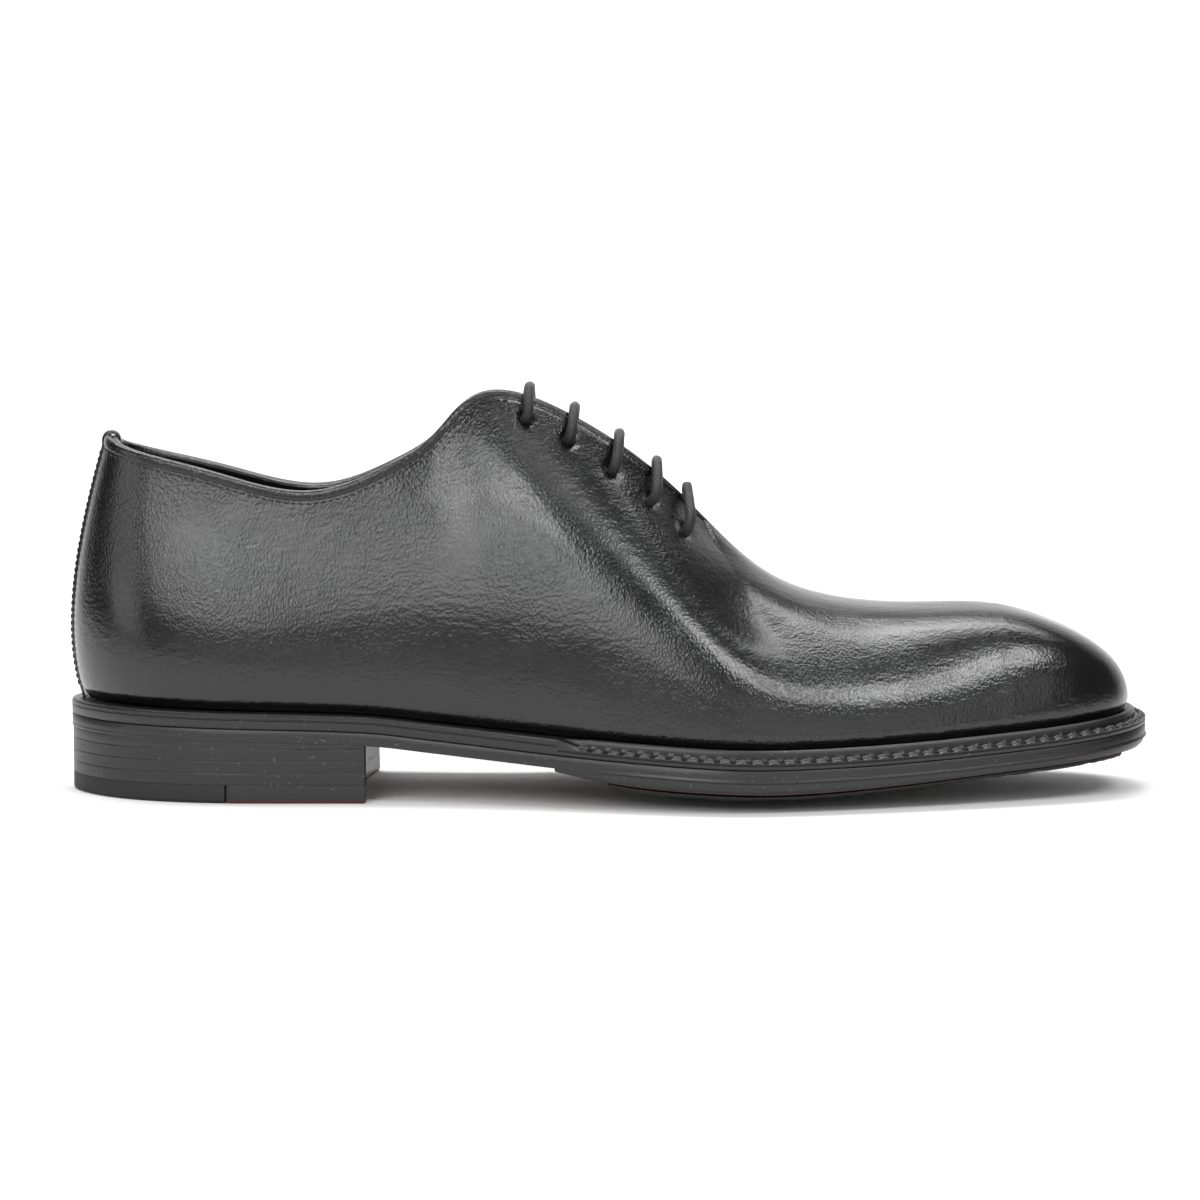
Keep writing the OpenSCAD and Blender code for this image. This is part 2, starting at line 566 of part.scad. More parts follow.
// ---- welt and soles ----
WELT_FROM = 6;
module welt() {
    us = span(WELT_FROM, TURN - WELT_FROM);
    function ringed(inset, rise) = [for (u = us) foot(u, inset(u), rise)];
    edge = function(u) 0;
    rib_out = function(u) set_back(u) - rib_gap - rib_w;
    rib_inner = function(u) set_back(u) - rib_gap;
    inner = function(u) set_back(u) + margin_w;
    color("#131215")
    skin([ringed(edge, -welt_t), ringed(edge, -rib_h), ringed(rib_out, -rib_h), ringed(rib_out, rib_up),
        ringed(rib_inner, rib_up), ringed(rib_inner, -gap), ringed(inner, -gap), ringed(inner, -welt_t)],
        wrap = false);
}

module welt_stitching() {
    color("#2c2a2d")
    band(span(WELT_FROM + 0.25, TURN - WELT_FROM - 0.25), function(u) stitch_in,
        function(u) stitch_in + stitch_w, gap - rib_h, stitch_up - rib_h);
}

module heel_rand() {
    color("#131215")
    band(span(0.02 - WELT_FROM, WELT_FROM - 0.02, (2 * WELT_FROM - 0.04) / 24), function(u) 0,
        function(u) set_back(u) + margin_w, -welt_t, -gap);
}

module outsole() {
    color("#2a1416")
    plank(FULL_LENGTH, function(u) 0.2, function(x, y) sole_z(x) + outsole_t - gap,
        function(x, y) sole_z(x));
}

module half_sole() {
    color("#2a1416")
    plank(span(6, 13.5), function(u) 0.2, function(x, y) sole_z(x) - gap,
        function(x, y) half_sole_z(x, y));
}

module tread_insert() {
    color("#151515")
    plank(span(6.5, 13), function(u) 5, function(x, y) half_sole_z(x, y) - 3 * gap,
        function(x, y) half_sole_z(x, y) - tread_t);
}

// ---- heel ----
outline_points = [for (u = ALL_ROUND) let (p = foot(u, 0.3)) [p[0], p[1]]];
heel_back = place(0, 0)[0];
breast_x = heel_back + heel_l;
BREAST_R = 190;
BREAST_DIP = 3;
TIP_R = 120;
module heel_plan(from, to) {
    intersection() {
        polygon(outline_points);
        translate([from, -shoe_l / 2]) square([to - from, shoe_l]);
    }
}

module heel_nail_holes(d, low, high) {
    for (p = [[14, 4], [24, -12], [24, 20], [56, -20], [56, 27], [76, -18], [76, 25]]) {
        q = place(p[0], p[1]);
        translate([q[0], q[1], low]) cylinder(d = d, h = high - low, $fn = 20);
    }
}

module heel_block(low, high) {
    difference() {
        translate([0, 0, low]) linear_extrude(high - low)
            difference() {
                heel_plan(heel_back - 1, breast_x);
                translate([breast_x - BREAST_DIP + BREAST_R, centre_y(breast_x)])
                    circle(BREAST_R, $fn = 180);
            }
        heel_nail_holes(nail_d + 0.1, low - 1, high + 1);
    }
}

module heel_lift(i) {
    low = top_piece_t + (i - 1) * lift_t;
    color(i % 2 == 0 ? "#201d1f" : "#1a181a") heel_block(low, low + lift_t - gap);
}

module heel_base() {
    low = top_piece_t + lift_n * lift_t;
    xs = [for (u = span(0, 5)) foot(u, 0.2)[0]];
    color("#1d1a1c")
    intersection() {
        heel_block(low, heel_h + 1);
        translate([0, shoe_l / 2, 0]) rotate([90, 0, 0]) linear_extrude(shoe_l)
            polygon(concat([[heel_back - 5, low - 1]], [[heel_back - 5, sole_z(xs[0]) - gap]],
                [for (x = xs) [x, sole_z(x) - gap]], [[xs[len(xs) - 1], low - 1]]));
    }
}

module heel_cut(radius) {
    translate([heel_back + tip_l + radius, centre_y(heel_back + tip_l), -1])
        cylinder(r = radius, h = heel_h + 2, $fn = 180);
}

module heel_top_piece() {
    color("#3a1419")
    intersection() {
        heel_block(0, top_piece_t - gap);
        heel_cut(TIP_R);
    }
}

module heel_rubber_tip() {
    color("#141414")
    difference() {
        heel_block(0, top_piece_t - gap);
        translate([-tip_joint, 0, 0]) heel_cut(TIP_R);
    }
}

module heel_nails() {
    color("#8d8f92") heel_nail_holes(nail_d, 0.8, top_piece_t + lift_n * lift_t + 1.5);
}

upper();
back_strip();
topline_binding();
topline_stitching();
back_strip_stitching();
quarter_lining();
vamp_lining();
heel_counter();
toe_puff();
side_stays();
facing_stays();
blind_eyelets();
tongue();
tongue_lining();
tongue_anchor();
lace();
lace_aglets();
insole();
insole_rib();
sock_liner();
shank();
bottom_filler();
welt();
welt_stitching();
heel_rand();
outsole();
half_sole();
tread_insert();
heel_base();
heel_lift(1);  // heel_lift_1
heel_lift(2);  // heel_lift_2
heel_lift(3);  // heel_lift_3
heel_top_piece();
heel_rubber_tip();
heel_nails();
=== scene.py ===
import bpy
import numpy as np
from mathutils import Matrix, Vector


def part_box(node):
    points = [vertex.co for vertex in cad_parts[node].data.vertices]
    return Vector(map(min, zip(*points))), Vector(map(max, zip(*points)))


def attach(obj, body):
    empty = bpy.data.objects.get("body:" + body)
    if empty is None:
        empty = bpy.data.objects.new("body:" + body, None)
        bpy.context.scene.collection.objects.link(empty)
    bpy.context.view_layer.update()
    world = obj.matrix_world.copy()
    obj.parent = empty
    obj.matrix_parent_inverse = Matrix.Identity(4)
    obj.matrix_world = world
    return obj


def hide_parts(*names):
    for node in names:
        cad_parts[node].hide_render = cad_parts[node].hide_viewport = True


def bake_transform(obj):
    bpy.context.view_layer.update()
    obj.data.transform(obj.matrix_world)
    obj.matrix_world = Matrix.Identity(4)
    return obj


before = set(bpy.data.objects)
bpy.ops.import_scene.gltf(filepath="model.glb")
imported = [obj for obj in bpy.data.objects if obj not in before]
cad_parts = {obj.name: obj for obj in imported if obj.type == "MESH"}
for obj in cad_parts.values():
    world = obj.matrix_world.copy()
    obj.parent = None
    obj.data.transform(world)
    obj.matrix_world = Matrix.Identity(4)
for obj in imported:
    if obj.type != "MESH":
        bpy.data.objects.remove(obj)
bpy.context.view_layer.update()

bl_info = {
    "name": "Leather Oxford Shoe",
    "version": (1, 0, 0),
    "blender": (4, 5, 0),
    "location": "View3D > Sidebar > Shoe",
    "description": "Makes the finished surfaces of a laced leather oxford around its packed parts",
    "category": "Add Mesh",
}

MM = 0.001

# ---- the shoe's tables, in millimetres on a shoe 306 long ----
DRAWN_LONG = 306
TIP = 14                # station of the toe tip, 0 is the back of the heel
TURN = 28               # stations once round the shoe, lateral side first
THROAT = 9              # station where the two facings meet

# Sole outline: distance from the heel, lateral side, medial side, upper's set-back from the edge
OUTLINE = [[0, 4, 4, 3.8], [6, -11.5, 19.5, 3.5], [22, -25, 32.3, 3.8], [48, -31.7, 39, 3.8],
    [80, -32, 36.5, 3.8], [110, -35, 32.6, 4.2], [138, -42.6, 33.4, 5.4], [164, -50, 41.3, 6.5],
    [188, -53.7, 50.2, 6.8], [212, -50.3, 53.7, 6.8], [240, -42.8, 49.2, 6.6],
    [268, -33.3, 41, 6.4], [290, -23.6, 31.4, 6], [302, -11.5, 21.5, 5.4], [306, 5, 5, 5]]
# Top edge and crest: distance from the heel, half width, height above the upper's lower edge
TOP_EDGE = [[10.8, 0, 73.7], [13.2, 8, 72], [24, 15, 68.8], [45, 19.5, 64], [70, 21, 60],
    [92, 18.5, 68.4], [106, 12.5, 80], [123, 7, 92], [156.4, 6, 79], [180.5, 0, 59.8],
    [202.5, 0, 42.7], [232, 0, 35.9], [256, 0, 34.5], [272, 0, 30.4], [280, 0, 26.8]]
# How the wall leaves the sole: lean outwards and rise
ROOT = [[7.4, 21], [7.4, 21], [6.8, 22], [6, 23], [4, 21], [4, 23], [4, 26], [3, 28], [2.5, 28],
    [2, 24], [1.5, 20], [1.2, 17], [1.2, 15.5], [1.2, 13.5], [1, 12.8]]
# How the wall arrives at its top edge: forwards, outwards, up
SHOULDER = [[-6.5, 0, -22], [-5, 3, -23], [-2.5, 4.5, -24], [-0.5, 4, -23], [2, 5, -21],
    [6, 7, -23], [8, 12, -22], [5, 14, -19], [3, 11.5, -19], [3, 10, -13], [8.5, 16, -4.5],
    [10, 22, 0], [12, 20, -0.5], [15, 12, -4.4], [12, 0, -5.5]]
# Underside of the outsole: distance from the heel, share of the heel's rise, share of toe spring
PROFILE = [[0, 1, 0], [40, 0.92, 0], [85, 0.8, 0], [105, 0.6, 0], [125, 0.41, 0], [150, 0.21, 0],
    [185, 0.02, 0], [205, 0, 0], [230, 0, 0.1], [255, 0, 0.3], [280, 0, 0.57], [306, 0, 1]]
# Centre line of the upper: distance from the heel, offset from the middle
CENTRE = [[0, 4], [70, 3], [120, 1], [180, 0], [230, 0.5], [285, 3], [306, 5]]
# Second sole: distance from the heel, share of its thickness, share of its crown
TAPER = [[138, 0.35, 0], [150, 0.8, 0.35], [165, 1, 0.8], [185, 1, 1], [205, 1, 1],
    [230, 0.8, 0.75], [255, 0.62, 0.5], [280, 0.6, 0.4], [306, 0.6, 0.35]]
# Crest of the tongue: distance from the heel, height, share of the half width, share of the fall
TONGUE = [[108, 83, 0.45, 1.75], [112, 86.8, 0.53, 1.75], [118, 89, 0.59, 1.75],
    [125, 87.5, 0.62, 1.7], [135, 82.6, 0.76, 1.45], [150, 74.8, 0.85, 1.2], [165, 65, 0.8, 1.1],
    [178, 54.4, 0.6, 1], [190, 45.6, 0.6, 1]]
# Fall of the tongue from its crest: distance from the centre, drop
TONGUE_FALL = [[0, 0], [4, 2.4], [8, 7], [12, 12], [16, 17.5], [20, 24], [24, 31]]

UPPER_T = 1.6           # outer leather
LINING_FROM = 2.4       # depth at which the lining starts
WALL_T = 3.4            # whole wall
WELT_T = 4.4
RIB_H = 2.2             # rib above the ledge that carries the stitches
OUTSOLE_T = 3.6
HALF_SOLE_T = 3
TREAD_T = 1.6
CROWN_H = 4
INSOLE_T = 3
TOE_SPRING = 6.8
TOP_PIECE_T = 5.1
LIFT_T = 3.3
LIFTS = 3
EYELETS = 5             # on each side
HEEL_RISE = 18.1        # underside of the outsole at the back of the heel
TREAD_DROP = 8.6        # underside of the outsole at the ball
RUBBER_LONG = 42
LACE_D = 3
TONGUE_WIDE = 46


# ---- curves ----
def column(rows, x, c=1):
    """Column c of a table at x: a cubic between neighbouring rows whose slope at each row
    is that of the line between the rows before and after it."""
    t = np.asarray(rows, float)
    at, v = t[:, 0], t[:, c]
    slope = np.gradient(v, at)
    slope[1:-1] = (v[2:] - v[:-2]) / (at[2:] - at[:-2])
    i = np.clip(np.searchsorted(at, x, side="right") - 1, 0, len(at) - 2)
    h = at[i + 1] - at[i]
    f = (x - at[i]) / h
    return (v[i] * (2 * f**3 - 3 * f**2 + 1) + v[i + 1] * (3 * f**2 - 2 * f**3)
            + slope[i] * h * (f**3 - 2 * f**2 + f) + slope[i + 1] * h * (f**3 - f**2))


def closed_spline(values):
    """Control values of the uniform cubic B-spline that closes on itself and passes through
    values: each value is (before + 4 own + after) / 6 of the controls."""
    v = np.asarray(values, float)
    n = len(v)
    m = (np.roll(np.eye(n), 1, 1) + 4 * np.eye(n) + np.roll(np.eye(n), -1, 1)) / 6
    return np.linalg.solve(m, v)


def ring(control, u):
    """Value at station u of a closed cubic B-spline, smooth up to its bend."""
    n = len(control)
    v = np.mod(u, n)
    i = np.floor(v).astype(int)
    f = (v - i)[..., None]
    weights = ((1 - f) ** 3, 3 * f**3 - 6 * f**2 + 4, -3 * f**3 + 3 * f**2 + 3 * f + 1, f**3)
    return sum(w * control[(i + k - 1) % n] for k, w in enumerate(weights)) / 6


def unit(v):
    return v / np.linalg.norm(v, axis=-1, keepdims=True)


def ease(f):
    """0 below 0, 1 above 1, and f * f * (3 - 2 f) between."""
    g = np.clip(f, 0, 1)
    return g * g * (3 - 2 * g)


def xyz(x, y, z):
    return np.stack(np.broadcast_arrays(x, y, z), -1).astype(float)


# ---- the shoe's lines ----
def both_sides(rows, c_lateral, c_medial):
    """A table's columns once round the shoe, lateral side out and medial side back."""
    t = np.asarray(rows, float)
    return np.concatenate([t[:, c_lateral], t[-2:0:-1][:, c_medial]])


def mirrored(rows):
    """Three columns (along, out, up) once round the shoe, with out turned about on the
    lateral side."""
    t = np.asarray(rows, float)
    return np.concatenate([t * (1, -1, 1), t[-2:0:-1]])


OUTSOLE_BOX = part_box("outsole")
LONG = (OUTSOLE_BOX[1][0] - OUTSOLE_BOX[0][0]) / MM / (DRAWN_LONG - 0.4)
outline_c = closed_spline(both_sides(OUTLINE, [0, 1], [0, 2]))
inset_c = closed_spline(both_sides(OUTLINE, [3], [3]))
edge_c = closed_spline(mirrored(TOP_EDGE))
root_c = closed_spline(both_sides(ROOT, [0, 1], [0, 1]))
shoulder_c = closed_spline(mirrored(SHOULDER))


def sole_z(x):
    """Height of the outsole's underside: the heel's rise and the toe's spring by their shares."""
    return (TREAD_DROP + (HEEL_RISE - TREAD_DROP) * column(PROFILE, x, 1)
            + TOE_SPRING * column(PROFILE, x, 2))


def seat_z(x):
    return sole_z(x) + OUTSOLE_T + WELT_T


def fold(u):
    v = np.mod(u, TURN)
    return np.where(v <= TIP, v, TURN - v)


def outward(u):
    d = ring(outline_c, u + 0.02) - ring(outline_c, u - 0.02)
    return unit(xyz(d[..., 1], -d[..., 0], 0))


def set_back(u):
    return ring(inset_c, u)[..., 0]


def foot(u, inset, rise=0.0):
    """Point of the sole outline at station u, moved in by inset and up from the upper's edge."""
    u, inset, rise = np.broadcast_arrays(*(np.asarray(v, float) for v in (u, inset, rise)))
    p = ring(outline_c, u)
    p = xyz(p[..., 0], p[..., 1], 0) - outward(u) * inset[..., None]
    p[..., 2] = seat_z(p[..., 0]) + rise
    return p


def top_edge(u):
    """Upper rim of the wall: the collar and facings, and past the throat the crest line."""
    e = ring(edge_c, u)
    half = np.where(fold(u) >= THROAT, 0, e[..., 1])
    return xyz(e[..., 0], column(CENTRE, e[..., 0]) + half, seat_z(e[..., 0]) + e[..., 2])


def face(u, s):
    """Outer face of the upper: at station u the cubic with end points foot (s = 0) and top
    edge (s = 1), and handles given by the root and the shoulder."""
    u, s = np.broadcast_arrays(np.asarray(u, float), np.asarray(s, float))
    low, high = foot(u, set_back(u)), top_edge(u)
    lean = ring(root_c, u)
    a = low + outward(u) * lean[..., :1] + xyz(0, 0, lean[..., 1])
    b = high + ring(shoulder_c, u)
    s = s[..., None]
    t = 1 - s
    return low * t**3 + 3 * a * s * t**2 + 3 * b * s**2 * t + high * s**3


def normal(u, s):
    """Outward direction of the face, from differences along and up."""
    u, s = np.broadcast_arrays(np.asarray(u, float), np.asarray(s, float))
    h = 0.01
    n = unit(np.cross(face(u + h, s) - face(u - h, s),
                      face(u, np.minimum(s + h, 1)) - face(u, np.maximum(s - h, 0))))
    v = np.minimum(fold(u), TIP - 0.2)
    d = top_edge(v + 0.1) - top_edge(v - 0.1)
    crest = unit(xyz(-d[..., 2], 0, d[..., 0]))
    on_crest = (fold(u) >= THROAT) & (s > 0.999)
    return np.where(on_crest[..., None], crest, n)


def wall(u, s, depth):
    """Point of the wall at a depth below its outer face, never below what it stands on."""
    p = face(u, s) - normal(u, s) * np.asarray(depth, float)[..., None]
    floor = seat_z(p[..., 0]) + np.minimum(depth, UPPER_T)
    p[..., 2] = np.where(np.asarray(depth) > 0, np.maximum(p[..., 2], floor), p[..., 2])
    return p


def up_wall(u, s=1.0):
    """Direction up the wall at its top."""
    return unit(face(u, s) - face(u, s - 0.03))


# ---- meshes ----
def to_frame(points):
    """From millimetres behind and beside the heel to the frame's metres."""
    p = np.asarray(points, float).reshape(-1, 3)
    return (p - (DRAWN_LONG / 2, 0, 0)) * (LONG * MM, MM, MM)


def grid(rows, cols, close_rows=False, close_cols=False):
    """Quads of a grid whose point (r, c) is number r * cols + c, closed either way."""
    r = np.arange(rows if close_rows else rows - 1)[:, None]
    c = np.arange(cols if close_cols else cols - 1)[None, :]
    r2, c2 = (r + 1) % rows, (c + 1) % cols
    corners = (r * cols + c, r2 * cols + c, r2 * cols + c2, r * cols + c2)
    return np.stack(np.broadcast_arrays(*corners), -1).reshape(-1, 4)


def closed_loft(points):
    """A grid of points (along, around) closed around, with a flat face at each end."""
    n, m = points.shape[:2]
    ends = [list(range(m)), list(range((n - 1) * m, n * m))[::-1]]
    return points.reshape(-1, 3), grid(n, m, close_cols=True).tolist() + ends


def ring_loft(points):
    """A grid of points (along, around) closed both ways."""
    n, m = points.shape[:2]
    return points.reshape(-1, 3), grid(n, m, True, True).tolist()


def many(points, faces, count):
    """The faces of count copies of a shape, for points of shape (count, n, 3)."""
    n = points.shape[1]
    return points.reshape(-1, 3), [[v + k * n for v in f] for k in range(count) for f in faces]


def joined(*parts):
    """Several (points, faces) as one."""
    at = np.cumsum([0] + [len(p) for p, _ in parts])
    return (np.concatenate([p for p, _ in parts]),
            [[v + a for v in f] for a, (_, fs) in zip(at, parts) for f in fs])


def volume(points, faces):
    """Signed volume: the sum over each face's fan of triangles of a . (b x c) / 6."""
    tris = np.array([(f[0], f[i], f[i + 1]) for f in faces for i in range(1, len(f) - 1)])
    a, b, c = (points[tris[:, k]] for k in range(3))
    return float(np.einsum("ij,ij->i", a, np.cross(b, c)).sum() / 6)


def piece(name, points, faces, material, body="shoe", slot=None, closed=True, sharp=35, uv=None):
    """An object from points in millimetres and faces. A closed shape is turned right side out."""
    placed = to_frame(points)
    if closed and volume(placed, faces) < 0:
        faces = [f[::-1] for f in faces]
    mesh = bpy.data.meshes.new(name)
    mesh.from_pydata(placed.tolist(), [], faces)
    if uv is not None:
        layer = mesh.uv_layers.new(name="along")
        corner = np.empty(len(mesh.loops), np.int32)
        mesh.loops.foreach_get("vertex_index", corner)
        layer.data.foreach_set("uv", np.asarray(uv, np.float32).reshape(-1, 2)[corner].ravel())
    mesh.polygons.foreach_set("use_smooth", np.ones(len(mesh.polygons), bool))
    mesh.set_sharp_from_angle(angle=np.radians(sharp))
    mesh.materials.append(material)
    mesh.validate()
    obj = bpy.data.objects.new(name, mesh)
    bpy.context.scene.collection.objects.link(obj)
    if body:
        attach(obj, body)
    return obj


def evenly(line, start, end, pitch, offset=0.5):
    """Stations between start and end at which line(u) has gone equal lengths of about pitch."""
    u = np.linspace(start, end, 3000)
    run = np.concatenate([[0], np.cumsum(np.linalg.norm(np.diff(line(u), axis=0), axis=1))])
    n = max(int(round(run[-1] / pitch)), 1)
    return np.interp((np.arange(n) + offset) / n * run[-1], run, u), run[-1] / n


def beads(centres, along, out, length, height, width, rings=6, sides=8, sag=0.0):
    """A stitch at each centre: an oval body whose section shrinks towards both ends as the
    square root of 1 - t^2, longest along, flattened towards out."""
    along, out = unit(along), unit(out)
    across = np.cross(along, out)
    t = np.sin(np.linspace(-1, 1, rings) * np.pi / 2 * 0.94)[:, None]
    a = np.linspace(0, 2 * np.pi, sides, endpoint=False)[None, :]
    r = np.sqrt(1 - t**2)
    x, y, z = t + 0 * a, r * np.cos(a), r * np.sin(a)
    cell = (centres[:, None, None] + along[:, None, None] * (x * length / 2)[None, ..., None]
            + across[:, None, None] * (y * width / 2)[None, ..., None]
            + out[:, None, None] * (z * height / 2 - sag * x**2)[None, ..., None])
    _, faces = closed_loft(cell[0])
    return many(cell.reshape(len(centres), -1, 3), faces, len(centres))


# ---- materials ----
class Value:
    """A number or colour that varies over a surface. Arithmetic on it adds Math nodes."""

    def __init__(self, paint, socket):
        self.paint, self.socket = paint, socket

    def _math(self, operation, a, b):
        return self.paint.node("ShaderNodeMath", {"operation": operation}, {0: a, 1: b})

    def __add__(self, other):
        return self._math("ADD", self, other)

    def __sub__(self, other):
        return self._math("SUBTRACT", self, other)

    def __rsub__(self, other):
        return self._math("SUBTRACT", other, self)

    def __mul__(self, other):
        return self._math("MULTIPLY", self, other)

    __radd__, __rmul__ = __add__, __mul__


class Paint:
    """A material being built from nodes."""

    def __init__(self, name):
        self.material = bpy.data.materials.new(name)
        self.material.use_nodes = True
        self.tree = self.material.node_tree
        self.tree.nodes.clear()

    def node(self, kind, settings=None, inputs=None, out=0):
        """A node of any kind: its settings first, then the values or links of its sockets."""
        made = self.tree.nodes.new(kind)
        for key, value in (settings or {}).items():
            setattr(made, key, value)
        for key, value in (inputs or {}).items():
            if isinstance(value, Value):
                self.tree.links.new(value.socket, made.inputs[key])
            else:
                made.inputs[key].default_value = value
        return Value(self, made.outputs[out] if len(made.outputs) else None)

    def place(self, stretch=(1, 1, 1), turn=(0, 0, 0)):
        """Object coordinates in metres, stretched and turned."""
        here = self.node("ShaderNodeTexCoord", out="Object")
        return self.node("ShaderNodeMapping", None,
                         {"Vector": here, "Scale": stretch, "Rotation": turn})

    def noise(self, at, size, detail=2.0, rough=0.5):
        """Cloudy noise from 0 to 1 whose blots are size metres across."""
        return self.node("ShaderNodeTexNoise", None,
                         {"Vector": at, "Scale": 1 / size, "Detail": detail, "Roughness": rough})

    def cells(self, at, size):
        """Distance from the nearest of points scattered about size metres apart."""
        return self.node("ShaderNodeTexVoronoi", None, {"Vector": at, "Scale": 1 / size})

    def between(self, value, low, high):
        """Value moved from 0..1 to low..high."""
        return value * (high - low) + low

    def step(self, value, low, high):
        """0 where value is under low, 1 where it is over high, smooth between."""
        return self.node("ShaderNodeMapRange", {"interpolation_type": "SMOOTHSTEP"},
                         {"Value": value, "From Min": low, "From Max": high})

    def mix(self, factor, a, b):
        """Colour a where factor is 0, b where it is 1."""
        return self.node("ShaderNodeMix", {"data_type": "RGBA"}, {0: factor, 6: a, 7: b}, out=2)

    def relief(self, layers):
        """A normal from (height, depth in metres) layers, laid on each other."""
        made = None
        for height, depth in layers:
            inputs = {"Height": height, "Distance": depth, "Strength": 1.0}
            if made:
                inputs["Normal"] = made
            made = self.node("ShaderNodeBump", None, inputs)
        return made

    def done(self, base, rough, normal=None, coat=0.0, coat_rough=0.1, metal=0.0, sheen=0.0,
             specular=0.5):
        inputs = {"Base Color": base, "Roughness": rough, "Coat Weight": coat,
                  "Coat Roughness": coat_rough, "Metallic": metal, "Sheen Weight": sheen,
                  "Specular IOR Level": specular}
        if normal:
            inputs["Normal"] = normal
        shader = self.node("ShaderNodeBsdfPrincipled", None, inputs)
        self.node("ShaderNodeOutputMaterial", None, {"Surface": shader})
        return self.material


def shade(colour, share):
    """A colour with its light scaled by share."""
    return (*(c * share for c in colour[:3]), 1)


def calf(name, colour, grain=0.00085, depth=0.00016, rough=(0.16, 0.28), coat=0.2):
    """Polished calf: fine pebbles drawn out along the stretch, soft creases, worn polish."""
    p = Paint(name)
    here = p.place((1.25, 1, 0.8), (0, 0.5, 0))
    pebbles = p.cells(here, grain)
    fine = p.noise(here, grain * 0.55, 2.0, 0.6)
    creases = p.noise(p.place((0.6, 1, 1.8), (0, 0.7, 0)), 0.0028, 3.0, 0.55)
    clouds = p.noise(p.place(), 0.035, 3.0)
    wear = p.noise(p.place((1, 1, 1.6)), 0.012, 4.0, 0.6)
    strength = p.step(clouds, 0.38, 0.66)
    height = (pebbles * 0.75 + fine * 0.45) * p.between(strength, 0.35, 1.0) + creases * 0.9
    base = p.mix(wear, shade(colour, 0.75), shade(colour, 1.35))
    polish = p.between(wear, *rough)
    return p.done(base, polish, p.relief([(clouds, 0.0003), (height, depth)]), coat, 0.13,
                  specular=0.5)


def cloth_thread(name, colour, pitch=0.0011, depth=0.00012, rough=0.6, sheen=0.1):
    """Twisted thread: slanting ridges from a wave across the piece, and loose fibres."""
    p = Paint(name)
    here = p.place((1, 1, 1), (0.6, 0.5, 0.3))
    twist = p.node("ShaderNodeTexWave", {"wave_type": "BANDS"},
                   {"Vector": here, "Scale": 0.31 / pitch, "Distortion": 1.5})
    fibre = p.noise(p.place((3, 1, 3)), pitch * 0.3, 2.0)
    base = p.mix(fibre, shade(colour, 0.6), shade(colour, 1.6))
    return p.done(base, rough, p.relief([(twist * 0.7 + fibre * 0.5, depth)]), sheen=sheen)


def burnished_edge(name, colour, grain=0.0016, depth=0.00005, rough=(0.34, 0.5)):
    """Cut edges of sole leather, inked and waxed: fine lines lengthways, nicks and specks."""
    p = Paint(name)
    lines = p.noise(p.place((0.05, 0.05, 3)), grain, 3.0, 0.7)
    nicks = p.step(p.noise(p.place((0.25, 0.25, 2.4)), 0.0035, 4.0, 0.6), 0.62, 0.72)
    specks = p.step(p.noise(p.place(), 0.0009, 0.0), 0.77, 0.83)
    base = p.mix(nicks, shade(colour, 1.0), shade(colour, 0.35))
    base = p.mix(specks * 0.25, base, (0.2, 0.2, 0.2, 1))
    polish = p.between(lines, *rough) + nicks * 0.15
    return p.done(base, polish, p.relief([(lines - nicks * 0.8, depth)]), 0.15, 0.3)


def plain_leather(name, colour, depth=0.0001, rough=(0.5, 0.7), pore=0.0007):
    """Unpolished leather: pores, fibres and soft blotches."""
    p = Paint(name)
    pores = p.cells(p.place(), pore)
    blotch = p.noise(p.place(), 0.018, 4.0, 0.6)
    fibres = p.noise(p.place((1, 2.5, 1)), 0.0012, 4.0, 0.6)
    base = p.mix(blotch * 0.7 + fibres * 0.3, shade(colour, 0.72), shade(colour, 1.25))
    return p.done(base, p.between(fibres, *rough), p.relief([(pores * 0.5 + fibres * 0.6, depth)]))


def rubber(name, colour):
    """Moulded rubber: matt, with a fine stipple."""
    p = Paint(name)
    stipple = p.noise(p.place(), 0.0006, 2.0)
    scuff = p.noise(p.place((1, 3, 1)), 0.006, 4.0, 0.6)
    return p.done(p.mix(scuff, shade(colour, 0.8), shade(colour, 1.5)), p.between(scuff, 0.5, 0.72),
                  p.relief([(stipple, 0.00005)]))


def steel(name, colour):
    """Drawn steel with fine lengthways scratches."""
    p = Paint(name)
    scratches = p.noise(p.place((0.2, 6, 1)), 0.002, 4.0, 0.6)
    return p.done((*colour[:3], 1), p.between(scratches, 0.25, 0.5),
                  p.relief([(scratches, 0.00002)]), metal=1.0)


def cork(name, colour):
    """Pressed cork crumbs with dark gaps."""
    p = Paint(name)
    crumbs = p.cells(p.place(), 0.0022)
    gaps = p.step(crumbs, 0.45, 0.75)
    base = p.mix(gaps, shade(colour, 1.2), shade(colour, 0.45))
    return p.done(base, 0.85, p.relief([(1 - crumbs, 0.0003)]))


def canvas(name, colour):
    """Plain weave: two crossing waves."""
    p = Paint(name)
    waves = [p.node("ShaderNodeTexWave", {"bands_direction": d},
                    {"Vector": p.place(), "Scale": 260.0, "Distortion": 0.4}) for d in "XZ"]
    weave = waves[0] * waves[1]
    return p.done(p.mix(weave, shade(colour, 0.6), shade(colour, 1.1)), 0.85,
                  p.relief([(weave, 0.00015)]))


# ---- upper ----
def lateral_and_medial(parts):
    """Stations once round from (from, to, number) spans of the lateral half and their mirror."""
    half = np.concatenate([np.linspace(a, b, n, endpoint=False) for a, b, n in parts] + [[TIP]])
    return np.concatenate([half, TURN - half[-2:0:-1]])


def below_edge(u, distance):
    """Level s that lies a distance under the top edge."""
    speed = np.linalg.norm(face(u, np.ones_like(u)) - face(u, np.full_like(u, 0.97)), axis=-1)
    return 1 - distance * 0.03 / speed


def on_side(u, hand):
    """Station u of the lateral side (hand -1), or its match on the medial side (1)."""
    return u if hand < 0 else TURN - u


